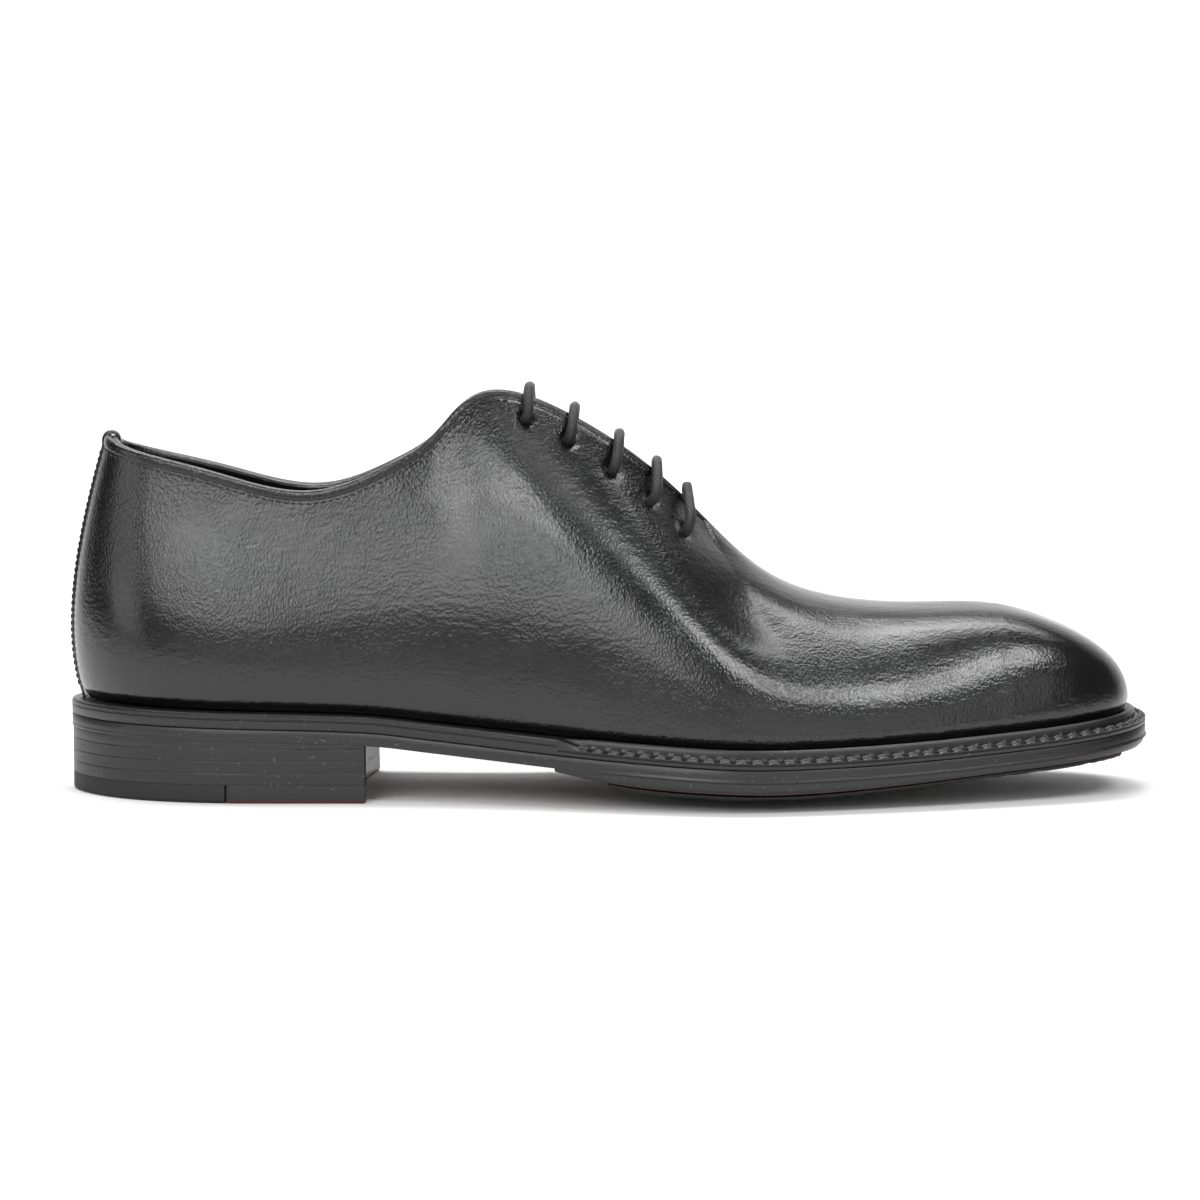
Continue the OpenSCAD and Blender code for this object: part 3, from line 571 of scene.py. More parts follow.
def eyelet(i, hand):
    """Station and level of eyelet i, counted from the top."""
    return on_side(7.17 + 0.333 * i, hand), 0.905 - 0.018 * i - 0.003 * i * i


CREST_PASSES = 70       # rounds of averaging over the crest


def upper_surface(u, s):
    """The face with what working it leaves: rounded over the crest, rolled under at the
    feather, dished at each eyelet, creased below the facing's edge, raised over the toe puff and
    hollow where the vamp flexes."""
    n_u, n_s = len(u), len(s)
    uu, ss = np.meshgrid(u, s, indexing="ij")
    p, n = face(uu, ss), normal(uu, ss)
    # over the crest: each section from side to side is averaged with its neighbours
    for i in np.flatnonzero((u >= THROAT) & (u < TIP)):
        j = n_u - i
        line = np.concatenate([p[i], p[j, -2::-1]])
        soft = line.copy()
        for _ in range(CREST_PASSES):
            soft[1:-1] = soft[1:-1] * 0.5 + (soft[:-2] + soft[2:]) * 0.25
        far = np.linalg.norm(line - line[n_s - 1], axis=1)
        weight = (1 - ease(far / 16))[:, None]
        lift = line[n_s - 1] - soft[n_s - 1]
        line = line + (soft + lift - line) * weight
        p[i], p[j, :-1] = line[:n_s], line[:n_s - 1:-1]
    run = np.linalg.norm(np.diff(p, axis=1), axis=2)
    from_top = np.concatenate([np.cumsum(run[:, ::-1], 1)[:, ::-1], np.zeros((n_u, 1))], 1)
    open_edge = (fold(u) < THROAT)[:, None]
    facing = ease((fold(u) - 6.7) / 0.4)[:, None] * open_edge
    height = p[..., 2] - seat_z(p[..., 0])
    dent = 1.1 * np.exp(-(height / 2.0) ** 2)
    dent += 0.22 * np.exp(-((from_top - 2.3) / 0.35) ** 2) * facing
    dent -= 0.12 * ease((p[..., 0] - 262) / 1.5)
    dent += 1.8 * np.exp(-((fold(uu) - 8.7) / 0.7) ** 2 - ((ss - 0.48) / 0.17) ** 2)
    for i in range(EYELETS):
        for hand in (-1, 1):
            eye_u, eye_s = eyelet(i, hand)
            away = np.linalg.norm(p - face(eye_u, eye_s), axis=-1)
            dent += 1.5 * np.exp(-(away / 1.9) ** 2)
    return p - n * dent[..., None]


def make_upper(sizes, paint):
    u = lateral_and_medial([(0, 6.6, 112), (6.6, THROAT, 74), (THROAT, TIP, 96)])
    s = np.concatenate([np.linspace(0, 0.06, 8, endpoint=False),
                        np.linspace(0.06, 0.93, 50, endpoint=False), np.linspace(0.93, 1, 16)])
    p = upper_surface(u, s)
    n_u, n_s = len(u), len(s)
    index = np.arange(n_u * n_s).reshape(n_u, n_s)
    medial_crest = np.flatnonzero((u > TIP) & (u <= TURN - THROAT + 1e-6))
    index[medial_crest, -1] = index[n_u - medial_crest, -1]
    faces = index.ravel()[grid(n_u, n_s, close_rows=True)]
    used, faces = np.unique(faces, return_inverse=True)
    shell = piece("upper", p.reshape(-1, 3)[used], faces.reshape(-1, 4).tolist(), paint["calf"],
                  body=None, closed=False, sharp=60)
    wall_maker = shell.modifiers.new("thickness", "SOLIDIFY")
    wall_maker.thickness = (UPPER_T - 0.1) * MM
    wall_maker.offset = -1
    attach(shell, "shoe")
    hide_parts("upper")


def rolled(u, profile):
    """A profile of (depth, height) pairs carried along the top edge."""
    u = np.asarray(u, float)
    top, n, up = face(u, np.ones_like(u)), normal(u, np.full_like(u, 0.99)), up_wall(u)
    d, h = profile[..., 0], profile[..., 1]
    return top[:, None] - n[:, None] * d[..., None] + up[:, None] * h[..., None]


def smooth_loop(points, count):
    """count points on the closed spline through points."""
    return ring(closed_spline(points), np.linspace(0, len(points), count, endpoint=False))


BEAD = [(-0.1, -1.9), (-0.5, -1.2), (-0.62, -0.2), (-0.4, 0.65), (0.25, 1.1), (1.0, 1.15),
        (1.4, 0.85), (1.8, 1.2), (2.7, 1.15), (3.4, 0.7), (3.65, -0.3), (3.6, -1.6), (3.3, -2.2),
        (1.6, -2.2)]
FACING_BEAD = [(-0.05, -0.9), (-0.2, -0.5), (-0.22, 0.0), (-0.05, 0.4), (0.4, 0.62), (0.9, 0.55),
               (1.3, 0.1), (1.75, 0.5), (2.4, 0.6), (3.1, 0.4), (3.5, -0.1), (3.5, -0.9), (3.2, -1.6),
               (1.6, -1.6)]


def make_topline(sizes, paint):
    u, _ = evenly(lambda v: face(v, np.ones_like(v)), -8.86, 8.86, 0.8)
    facing = ease((np.abs(u) - 6.3) / 0.7)[:, None, None]
    loop = smooth_loop(BEAD, 34) * (1 - facing) + smooth_loop(FACING_BEAD, 34) * facing
    loop = loop * (1 - 0.35 * ease((np.abs(u) - 8.3) / 0.5))[:, None, None]
    bead = piece("topline_binding", *closed_loft(rolled(u, loop)), paint["calf"],
                 slot="black_calf", sharp=70)
    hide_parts("topline_binding")
    rows = []
    for start, end, low in ((-7.05, -0.33, 2.75), (0.33, 7.05, 2.75), (5.9, 7.0, 5.0),
                            (-7.0, -5.9, 5.0)):
        u, pitch = evenly(lambda v: face(v, below_edge(v, low)), start, end, sizes.stitch / MM)
        s = below_edge(u, low)
        ahead = face(u + 0.02, below_edge(u + 0.02, low)) - face(u - 0.02, below_edge(u - 0.02, low))
        out = normal(u, s)
        rows.append(beads(face(u, s) + out * 0.02, ahead, out, pitch * 0.8, 0.62, 0.62, 5, 6, 0.12))
    seam = piece("topline_stitching", *joined(*rows), paint["thread"], slot="black_thread", sharp=80)
    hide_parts("topline_stitching")


STRIP_TOP = [(-0.72, -5.0), (-0.8, -2.6), (-1.25, -0.9), (-1.1, 0.8), (-0.2, 2.0), (1.3, 2.5),
             (2.8, 2.1), (3.9, 0.9), (4.3, -0.8), (4.1, -3.5), (3.9, -7.5)]


def make_back_strip(sizes, paint):
    """A strip up the back seam and over the rim: levels 0 to 0.93 of the wall, then a spline in
    depth and height. Its section is 1 - x^4 thick across."""
    across = np.linspace(-1, 1, 21)
    wide = 0.25 * across
    levels = np.linspace(0.0, 0.925, 60)
    uu, ss = np.meshgrid(wide, levels, indexing="ij")
    body = face(uu, ss), normal(uu, ss)
    path = np.array(STRIP_TOP)
    t = np.linspace(0, len(path) - 1, 60)
    over = np.stack([column(np.c_[np.arange(len(path)), path], t, c) for c in (1, 2)], -1)
    slope = unit(np.gradient(over, axis=0))
    side = np.stack([-slope[:, 1], slope[:, 0]], -1)
    thick = 0.75 * (1 - 0.85 * np.abs(across) ** 5)
    out_body = body[0] + body[1] * thick[:, None, None]
    in_body = body[0] - body[1] * 0.1
    over_in = over[None] - side[None] * 0.0
    over_out = over[None] - side[None] * (0.75 - thick[:, None, None])
    top_out = rolled(wide, over_out)
    top_in = rolled(wide, over_in + side[None] * -0.9)
    outer = np.concatenate([out_body, top_out], 1)
    inner = np.concatenate([in_body, top_in], 1)
    section = np.concatenate([outer, inner[::-1]], 0).transpose(1, 0, 2)
    strip = piece("back_strip", *closed_loft(section), paint["calf"], slot="black_calf", sharp=60)
    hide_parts("back_strip")
    rows = []
    for hand in (-1, 1):
        level, pitch = evenly(lambda v: face(np.full_like(v, 0.19 * hand), v), 0.05, 0.95,
                              sizes.stitch / MM * 0.9)
        u = np.full_like(level, 0.19 * hand)
        out = normal(u, level)
        rows.append(beads(face(u, level) + out * 0.72, face(u, level + 0.01) - face(u, level - 0.01),
                          out, pitch * 0.78, 0.45, 0.5, 5, 6, 0.1))
    seam = piece("back_strip_stitching", *joined(*rows), paint["thread"], slot="black_thread",
                 sharp=80)
    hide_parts("back_strip_stitching")


# ---- linings ----
def layer(u, s, near, far):
    """A sheet of the wall between two depths, over stations u and levels s, as a loft whose
    section runs up the near face and down the far one."""
    uu, ss = np.meshgrid(u, s, indexing="ij")
    return np.concatenate([wall(uu, ss, np.full_like(ss, near)),
                           wall(uu, ss, np.full_like(ss, far))[:, ::-1]], 1)


def make_linings(sizes, paint):
    s = np.concatenate([np.linspace(0, 0.9, 34, endpoint=False), np.linspace(0.9, 0.985, 6)])
    quarter = piece("quarter_lining",
                    *closed_loft(layer(np.linspace(-7.5, 7.5, 190), s, LINING_FROM + 0.1, WALL_T)),
                    paint["lining"], slot="burgundy_lining", sharp=60)
    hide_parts("quarter_lining")
    vamp = piece("vamp_lining",
                 *closed_loft(layer(np.linspace(7.52, 20.48, 190), s, LINING_FROM + 0.1, WALL_T)),
                 paint["lining"], slot="burgundy_lining", sharp=60)
    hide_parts("vamp_lining")


# ---- bottom ----
def across_sole(u, inset, lanes):
    """Points between the lateral and medial rim at stations u, in lanes from 0 to 1."""
    a, b = foot(u, inset), foot(TURN - u, inset)
    x = (a[:, 0] + b[:, 0]) / 2
    y = a[:, 1, None] + (b[:, 1] - a[:, 1])[:, None] * lanes[None, :]
    return np.broadcast_to(x[:, None], y.shape), y


def plate(u, inset, top, bottom, lanes=26, round_edge=0.0):
    """A flat piece across the sole between two height functions of the plan. The rim is rounded
    by pulling its corners in as the square of how near they are to the edge."""
    lane = 0.5 - 0.5 * np.cos(np.linspace(0, np.pi, lanes))
    x, y = across_sole(u, inset, lane)
    z_top, z_low = top(x, y), bottom(x, y)
    edge = np.minimum(lane, 1 - lane) * np.ptp(y, axis=1)[:, None]
    drop = round_edge * np.clip(1 - edge / 3, 0, 1) ** 2
    over, under = xyz(x, y, z_top - drop), xyz(x, y, z_low + drop)
    return np.concatenate([over[:, ::-1], under], 1)


def crown(x, y):
    """How far the tread's middle stands below its edge: crown height times 1 - f^2 across."""
    a, b = column(OUTLINE, x, 1), column(OUTLINE, x, 2)
    f = (2 * y - a - b) / (b - a)
    return CROWN_H * column(TAPER, x, 2) * np.clip(1 - f * f, 0, None)


def half_sole_z(x, y):
    return sole_z(x) - HALF_SOLE_T * column(TAPER, x, 1) - crown(x, y)


SOLE_U = np.concatenate([np.linspace(0.04, 1, 14, endpoint=False), np.linspace(1, 13, 110),
                         np.linspace(13, 13.96, 15)[1:]])


def edge_strip(u, section):
    """A section carried round the sole: (inset, rise) pairs, each a number or a value for every
    station, rise counted from the upper's edge."""
    rows = np.stack([np.stack(np.broadcast_arrays(*pair), -1) for pair in section], 1)
    return foot(u[:, None], rows[..., 0], rows[..., 1])


def make_welt(sizes, paint):
    """The welt's section carried round the forepart: a ledge with a notch pressed in at each
    stitch, a fine groove under it and a round rib against the upper."""
    line = lambda v: foot(v, 1.6)
    u, _ = evenly(line, 6, TURN - 6, 0.5)
    held, pitch = evenly(line, 6.2, TURN - 6.2, sizes.welt_stitch / MM)
    run = np.concatenate([[0], np.cumsum(np.linalg.norm(np.diff(line(u), axis=0), axis=1))])
    at = np.interp(held, u, run)
    phase = np.interp(run, at, np.arange(len(at)), left=-0.5, right=len(at) - 0.5)
    notch = (np.cos(2 * np.pi * (phase - 0.5)) * 0.5 + 0.5) ** 3
    back = set_back(u)
    begun = ease((fold(u) - 6) / 0.4)
    notch = notch * begun
    ledge = -0.25 - (RIB_H - 0.25) * begun
    o = np.zeros_like(u)
    section = [
        (o + 0.35, o - WELT_T), (o + 0.02, o - WELT_T + 0.3), (o, o - 3.35), (o + 0.3, o - 3.2),
        (o + 0.32, o - 3.02), (o + 0.02, o - 2.86), (o - 0.05 * begun, o - 2.6),
        (0.25 + 0.5 * notch, ledge + 0.05 - 0.45 * notch),
        (0.9 + 0.2 * notch, ledge + 0.15 - 0.75 * notch),
        (o + 1.8, ledge + 0.1 - 0.75 * notch), (back - 2.5, ledge + 0.05 - 0.3 * notch),
        (back - 2.1, ledge + 0.1), (back - 1.95, 0.5 * ledge), (back - 1.8, o - 0.15),
        (back - 1.35, 0.4 * begun - 0.1), (back - 0.8, 0.45 * begun - 0.1),
        (back - 0.3, 0.3 * begun - 0.1), (back + 0.1, o - 0.1),
        (back + 7.5, o - 0.1), (back + 7.5, o - WELT_T)]
    welt = piece("welt", *closed_loft(edge_strip(u, section)), paint["edge"], slot="welt_leather",
                 sharp=50)
    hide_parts("welt")
    out = outward(held)
    ahead = line(held + 0.02) - line(held - 0.02)
    centre = foot(held, 1.15, 0.15 - RIB_H * ease((fold(held) - 6) / 0.4))
    lean = unit(out * 0.6 + xyz(0, 0, 1))
    seam = piece("welt_stitching", *beads(centre, ahead, lean, pitch * 0.92, 1.15, 1.7, 8, 8, 0.35),
                 paint["welt_thread"], slot="black_thread", sharp=80)
    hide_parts("welt_stitching")


def make_rand(sizes, paint):
    """The welt's place round the heel and waist: a plain strip with two fine lines."""
    u = np.linspace(-6.04, 6.04, 300)
    o = np.zeros_like(u)
    back = set_back(u)
    section = [
        (o + 0.3, o - WELT_T), (o + 0.02, o - WELT_T + 0.25), (o, o - 2.1), (o + 0.25, o - 1.95),
        (o + 0.25, o - 1.75), (o, o - 1.6), (o, o - 0.95), (o + 0.25, o - 0.8), (o + 0.3, o - 0.65),
        (o + 0.15, o - 0.5), (o + 0.55, o - 0.15), (o + 1.2, o - 0.05), (back - 0.4, o - 0.05),
        (back + 7.5, o - 0.1), (back + 7.5, o - WELT_T)]
    rand = piece("heel_rand", *closed_loft(edge_strip(u, section)), paint["edge"],
                 slot="welt_leather", sharp=50)
    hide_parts("heel_rand")


def make_soles(sizes, paint):
    """Outsole, second sole and tread: heights over the plan, edges set in and rounded."""
    top = lambda x, y: sole_z(x) + OUTSOLE_T - 0.04
    outsole = piece("outsole", *closed_loft(plate(SOLE_U, 0.8, top, lambda x, y: sole_z(x), 26, 0.0)),
                    paint["sole"], slot="sole_leather", sharp=40)
    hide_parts("outsole")
    # the inked edge that wraps the outsole, with a lip along its foot
    u = np.linspace(0, TURN, 900, endpoint=False)
    o = np.zeros_like(u)
    fore = ease((fold(u) - 6.4) / 0.8)
    low = -WELT_T - OUTSOLE_T
    lip = 0.3 * fore
    section = [(o + 1.2, o - WELT_T - 0.06), (o + 0.3, o - WELT_T - 0.06),
               (o + 0.02, o - WELT_T - 0.35),
               (o + 0.05, low + 1.2), (0.1 - lip * 0.4, low + 0.75), (-lip, low + 0.45),
               (-lip, low + 0.15), (0.15 - lip * 0.3, low - 0.06), (o + 1.6, low - 0.1)]
    piece("outsole_edge", *ring_loft(edge_strip(u, section)), paint["edge"],
          slot="sole_leather", sharp=50)
    u = np.concatenate([np.linspace(6, 13, 80, endpoint=False), np.linspace(13, 13.9, 12)])
    second = piece("half_sole", *closed_loft(plate(u, 2.0, lambda x, y: sole_z(x) - 0.05, half_sole_z,
                                                   34, 0.0)),
                   paint["sole"], slot="sole_leather", sharp=40)
    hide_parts("half_sole")
    u = lateral_and_medial([(6, TIP, 420)])
    u = u[(u >= 6) & (u <= TURN - 6)]
    o = np.zeros_like(u)
    x = foot(u, 0.5)[:, 0]
    thick = HALF_SOLE_T * column(TAPER, x, 1)
    section = [(o + 1.6, low - 0.12), (o + 0.35, low - 0.12), (0.3 + 0.02 * thick, low - 0.3 * thick),
               (0.45 + 0.1 * thick, low - 0.75 * thick), (0.8 + 0.1 * thick, low - 0.95 * thick),
               (1.4 + 0.1 * thick, low - thick - 0.08), (o + 3.0, low - thick - 0.25)]
    piece("half_sole_edge", *closed_loft(edge_strip(u, section)), paint["edge"],
          slot="sole_leather", sharp=50)
    u = np.linspace(6.5, 13, 90)
    tread = piece("tread_insert", *closed_loft(plate(u, 5, lambda x, y: half_sole_z(x, y) - 0.05,
                  lambda x, y: half_sole_z(x, y) - TREAD_T + 0.25 * np.cos(x * 2.1) ** 8, 60, 0.5)),
                  paint["rubber"], slot="tread_rubber", sharp=40)
    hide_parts("tread_insert")
    u = SOLE_U[(SOLE_U > 0.4) & (SOLE_U < 13.6)]
    sock_top = UPPER_T + INSOLE_T + 1.05
    sock = piece("sock_liner", *closed_loft(plate(u, set_back(u) + WALL_T + 0.3,
                 lambda x, y: seat_z(x) + sock_top, lambda x, y: seat_z(x) + sock_top - 1, 26, 0.2)),
                 paint["lining"], slot="burgundy_lining", sharp=50)
    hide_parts("sock_liner")


# ---- tongue and lace ----
def tongue_z(x, y):
    """Top of the tongue: its crest, less the fall at a distance y from the centre line."""
    return (seat_z(x) + column(TONGUE, x, 1)
            - column(TONGUE_FALL, np.abs(y)) * column(TONGUE, x, 3))


def tongue_sheet(x, lanes, drop, thick):
    """A sheet under the tongue's top surface: over x and lanes from -1 to 1, its corners
    rounded, bulging a little along the middle."""
    half = column(TONGUE, x, 2) * TONGUE_WIDE / 2 * ease((x - 104) / 6) ** 0.35
    y = half[:, None] * lanes[None, :]
    xx = np.broadcast_to(x[:, None], y.shape)
    edge = np.maximum(np.abs(lanes)[None, :] ** 6, np.clip((110 - xx) / 2, 0, 1) ** 2)
    z = tongue_z(xx, y) - drop
    c = column(CENTRE, x)[:, None]
    over = xyz(xx, c + y, z - 0.45 * thick * edge)
    under = xyz(xx, c + y, z - thick + 0.45 * thick * edge)
    return np.concatenate([over[:, ::-1], under], 1)


def make_tongue(sizes, paint):
    lanes = np.sin(np.linspace(-1, 1, 49) * np.pi / 2)
    x = np.concatenate([np.linspace(108, 112, 14, endpoint=False), np.linspace(112, 189.5, 150)])
    thick = 2.0
    leather = piece("tongue", *closed_loft(tongue_sheet(x, lanes, 0, thick)), paint["tongue"],
                    body=None, slot="black_calf", sharp=60)
    x = x[x < 178]
    lining = piece("tongue_lining", *closed_loft(tongue_sheet(x, lanes * 0.985, thick + 0.05, 1.1)),
                   paint["lining"], body=None, slot="burgundy_lining", sharp=60)
    for sheet, nodes in ((leather, ("tongue", "tongue_anchor")), (lining, ("tongue_lining",))):
        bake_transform(sheet)
        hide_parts(*nodes)


LACE_OUT = -(LACE_D / 2 + 0.5)
LACE_IN = WALL_T + LACE_D / 2 + 0.2
BESIDE = LACE_D + 0.5


def lace_route():
    """Points the lace is threaded through: each bar up through an eyelet, over the gap and down
    again, joined by runs under the facings, and two ends tucked in beside the tongue."""
    def eye(i, hand, depth):
        u, s = eyelet(i, hand)
        return face(u, s) - normal(u, s) * depth

    def over_edge(i, hand):
        u = on_side(7.24 + 0.36 * i, hand)
        return top_edge(u) + normal(u, 0.98) * (LACE_D / 2 + 0.4) + (0, 0, LACE_D * 0.25)

    def bar(i, hand):
        a, b = over_edge(i, hand), over_edge(i, -hand)
        top = (a + b) / 2 + (0, 0, LACE_D * 0.3)
        return [eye(i, hand, LACE_IN), eye(i, hand, LACE_OUT), a, top, b,
                eye(i, -hand, LACE_OUT), eye(i, -hand, LACE_IN)]

    def run(i, j, hand, side_step):
        made = []
        for f in (0.3, 0.7):
            (a, s0), (b, s1) = eyelet(i, -1), eyelet(j, -1)
            u, s = on_side(a * (1 - f) + b * f, hand), s0 * (1 - f) + s1 * f
            down = unit(face(u, s - 0.02) - face(u, s))
            made.append(face(u, s) - normal(u, s) * LACE_IN + down * side_step)
        return made

    def tuck(i, hand):
        made = []
        for f in range(1, 5):
            v, s = eyelet(i, -1)
            u, s = on_side(v - 0.25 * f, hand), s - 0.11 * f
            made.append(face(u, s) - normal(u, s) * (LACE_IN + 0.25 * f))
        return made

    return np.array(tuck(1, -1)[::-1] + bar(1, -1) + run(1, 3, 1, -BESIDE) + bar(3, 1)
                    + run(3, 4, -1, -BESIDE * 0.2) + bar(4, -1) + run(4, 2, 1, BESIDE) + bar(2, 1)
                    + run(2, 0, -1, BESIDE) + bar(0, -1) + tuck(0, 1))


def open_spline(points, per):
    """Points per to a gap on the centripetal spline through points, ends straight on."""
    p = np.concatenate([[2 * points[0] - points[1]], points, [2 * points[-1] - points[-2]]])
    gap = np.sqrt(np.linalg.norm(np.diff(p, axis=0), axis=1))
    t = np.concatenate([[0], np.cumsum(gap)])
    made = []
    for i in range(1, len(p) - 2):
        v = np.linspace(t[i], t[i + 1], per, endpoint=False)[:, None]
        a = [p[i + k] * (t[i + k + 1] - v) / gap[i + k] + p[i + k + 1] * (v - t[i + k]) / gap[i + k]
             for k in (-1, 0, 1)]
        b = [a[k] * (t[i + k + 1] - v) / (t[i + k + 1] - t[i + k - 1])
             + a[k + 1] * (v - t[i + k - 1]) / (t[i + k + 1] - t[i + k - 1]) for k in (0, 1)]
        made.append(b[0] * (t[i + 1] - v) / gap[i] + b[1] * (v - t[i]) / gap[i])
    return np.concatenate(made + [points[-1:]])


def even_path(points, pitch):
    """The same path with points an equal length apart."""
    run = np.concatenate([[0], np.cumsum(np.linalg.norm(np.diff(points, axis=0), axis=1))])
    at = np.linspace(0, run[-1], int(run[-1] / pitch) + 1)
    return np.stack([np.interp(at, run, points[:, k]) for k in range(3)], -1), at


def carried_frames(path):
    """Two directions across the path at each point, turned as little as the path allows."""
    ahead = unit(np.gradient(path, axis=0))
    first = unit(np.cross(ahead[0], (0.3, 1, 0.2)))
    across = [first]
    for t in ahead[1:]:
        v = across[-1] - t * (across[-1] @ t)
        across.append(v / np.linalg.norm(v))
    across = np.array(across)
    return across, np.cross(ahead, across)


def make_lace(sizes, paint):
    """A round braid: radius times 1 + a |sin| ridges of two opposed spirals, whichever is on
    top, along the route."""
    path, at = even_path(open_spline(lace_route(), 24), 0.3)
    for _ in range(6):
        path[1:-1] = path[1:-1] * 0.5 + (path[:-2] + path[2:]) * 0.25
    a, b = carried_frames(path)
    turn = np.linspace(0, 2 * np.pi, 28, endpoint=False)[None, :]
    lay = 2 * np.pi * at[:, None] / (sizes.braid / MM)
    one, other = np.cos(4 * turn + lay), np.cos(4 * turn - lay)
    ridge = np.maximum(one, other) + 0.35 * np.cos(8 * turn)
    radius = LACE_D / 2 * (0.97 + 0.045 * ridge)
    ends = np.minimum(at, at[-1] - at)[:, None]
    radius = radius * (0.75 + 0.25 * ease(ends / 1.5))
    tube = (path[:, None] + a[:, None] * (np.cos(turn) * radius)[..., None]
            + b[:, None] * (np.sin(turn) * radius)[..., None])
    uv = np.stack(np.broadcast_arrays(at[:, None] * MM, turn * LACE_D / 2 * MM), -1)
    lace = piece("lace", *closed_loft(tube), paint["lace"], slot="waxed_lace", sharp=80, uv=uv)
    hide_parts("lace")
    tips = []
    for end, before in ((path[0], path[6]), (path[-1], path[-7])):
        d = unit(end - before)
        along = np.array([-0.4, -0.2, 0.3, 4, 4.2, 4.5, 4.8, 11, 11.3, 11.6, 15.2, 15.9, 16.1])
        size = np.array([1.24, 1.38, 1.42, 1.42, 1.32, 1.32, 1.42, 1.42, 1.32, 1.42, 1.36, 1.1, 0.5])
        spine = end + d * along[:, None]
        side = unit(np.cross(d, (0.2, 1, 0.4)))
        up = np.cross(d, side)
        turn = np.linspace(0, 2 * np.pi, 24, endpoint=False)
        ring_dir = np.cos(turn)[:, None] * side + np.sin(turn)[:, None] * up
        tips.append(closed_loft(spine[:, None] + ring_dir[None] * size[:, None, None]))
    aglets = piece("lace_aglets", *joined(*tips), paint["aglet"], slot="lace_tip", sharp=35)
    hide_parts("lace_aglets")


# ---- heel ----
def arc_x(at, y, radius, bulge):
    """Distance from the heel of an arc across it: at on the centre line, going forwards
    (bulge 1) or back (-1) towards the sides."""
    c = column(CENTRE, np.full_like(y, at))
    return at + bulge * (radius - np.sqrt(radius**2 - (y - c) ** 2))


def heel_plan(back_arc, front_arc, inset, corner, count=220):
    """A loop (count, 2) round the plan: both sides follow the outline, front and back follow
    the arcs (at, radius, bulge) or, with no back arc, the outline itself."""
    u = np.linspace(-5.6, 5.6, 3000)
    p = foot(u, inset)[:, :2]
    ahead = p[:, 0] <= arc_x(front_arc[0], p[:, 1], *front_arc[1:])
    if back_arc:
        ahead &= p[:, 0] >= arc_x(back_arc[0], p[:, 1], *back_arc[1:])
    medial, lateral = p[(u < 0) & ahead], p[(u >= 0) & ahead]
    front_y = np.linspace(lateral[-1, 1], medial[0, 1], 60)[1:-1]
    front = np.stack([arc_x(front_arc[0], front_y, *front_arc[1:]), front_y], -1)
    loop = [medial, lateral, front]
    if back_arc:
        back_y = np.linspace(medial[-1, 1], lateral[0, 1], 60)[1:-1]
        loop.insert(1, np.stack([arc_x(back_arc[0], back_y, *back_arc[1:]), back_y], -1))
    loop = np.concatenate(loop)
    loop = np.concatenate([loop, loop[:1]])
    run = np.concatenate([[0], np.cumsum(np.linalg.norm(np.diff(loop, axis=0), axis=1))])
    at = np.linspace(0, run[-1], 900, endpoint=False)
    even = np.stack([np.interp(at, run, loop[:, k]) for k in (0, 1)], -1)
    width = max(int(corner / (run[-1] / 900)), 1)
    kernel = np.hanning(2 * width + 3)[1:-1]
    kernel /= kernel.sum()
    padded = np.concatenate([even[-width:], even, even[:width]])
    even = np.stack([np.convolve(padded[:, k], kernel, "valid") for k in (0, 1)], -1)
    pick = np.linspace(0, 900, count, endpoint=False).astype(int)
    return even[pick]


BREAST = (83, 190, 1)
TIP_ARC = (RUBBER_LONG, 120, 1)


def block(loop, levels):
    """A plan loop carried up through (height, inset) levels. A height is one number or one for
    each point; insets move points at right angles to the loop, towards the side its area is on."""
    step = np.roll(loop, -1, 0) - np.roll(loop, 1, 0)
    inward = unit(np.stack([-step[:, 1], step[:, 0]], -1))
    area = np.sum(loop[:, 0] * np.roll(loop[:, 1], -1) - np.roll(loop[:, 0], -1) * loop[:, 1])
    inward *= np.sign(area)
    return np.array([np.column_stack([loop + inward * inset, np.broadcast_to(z, len(loop))])
                     for z, inset in levels])


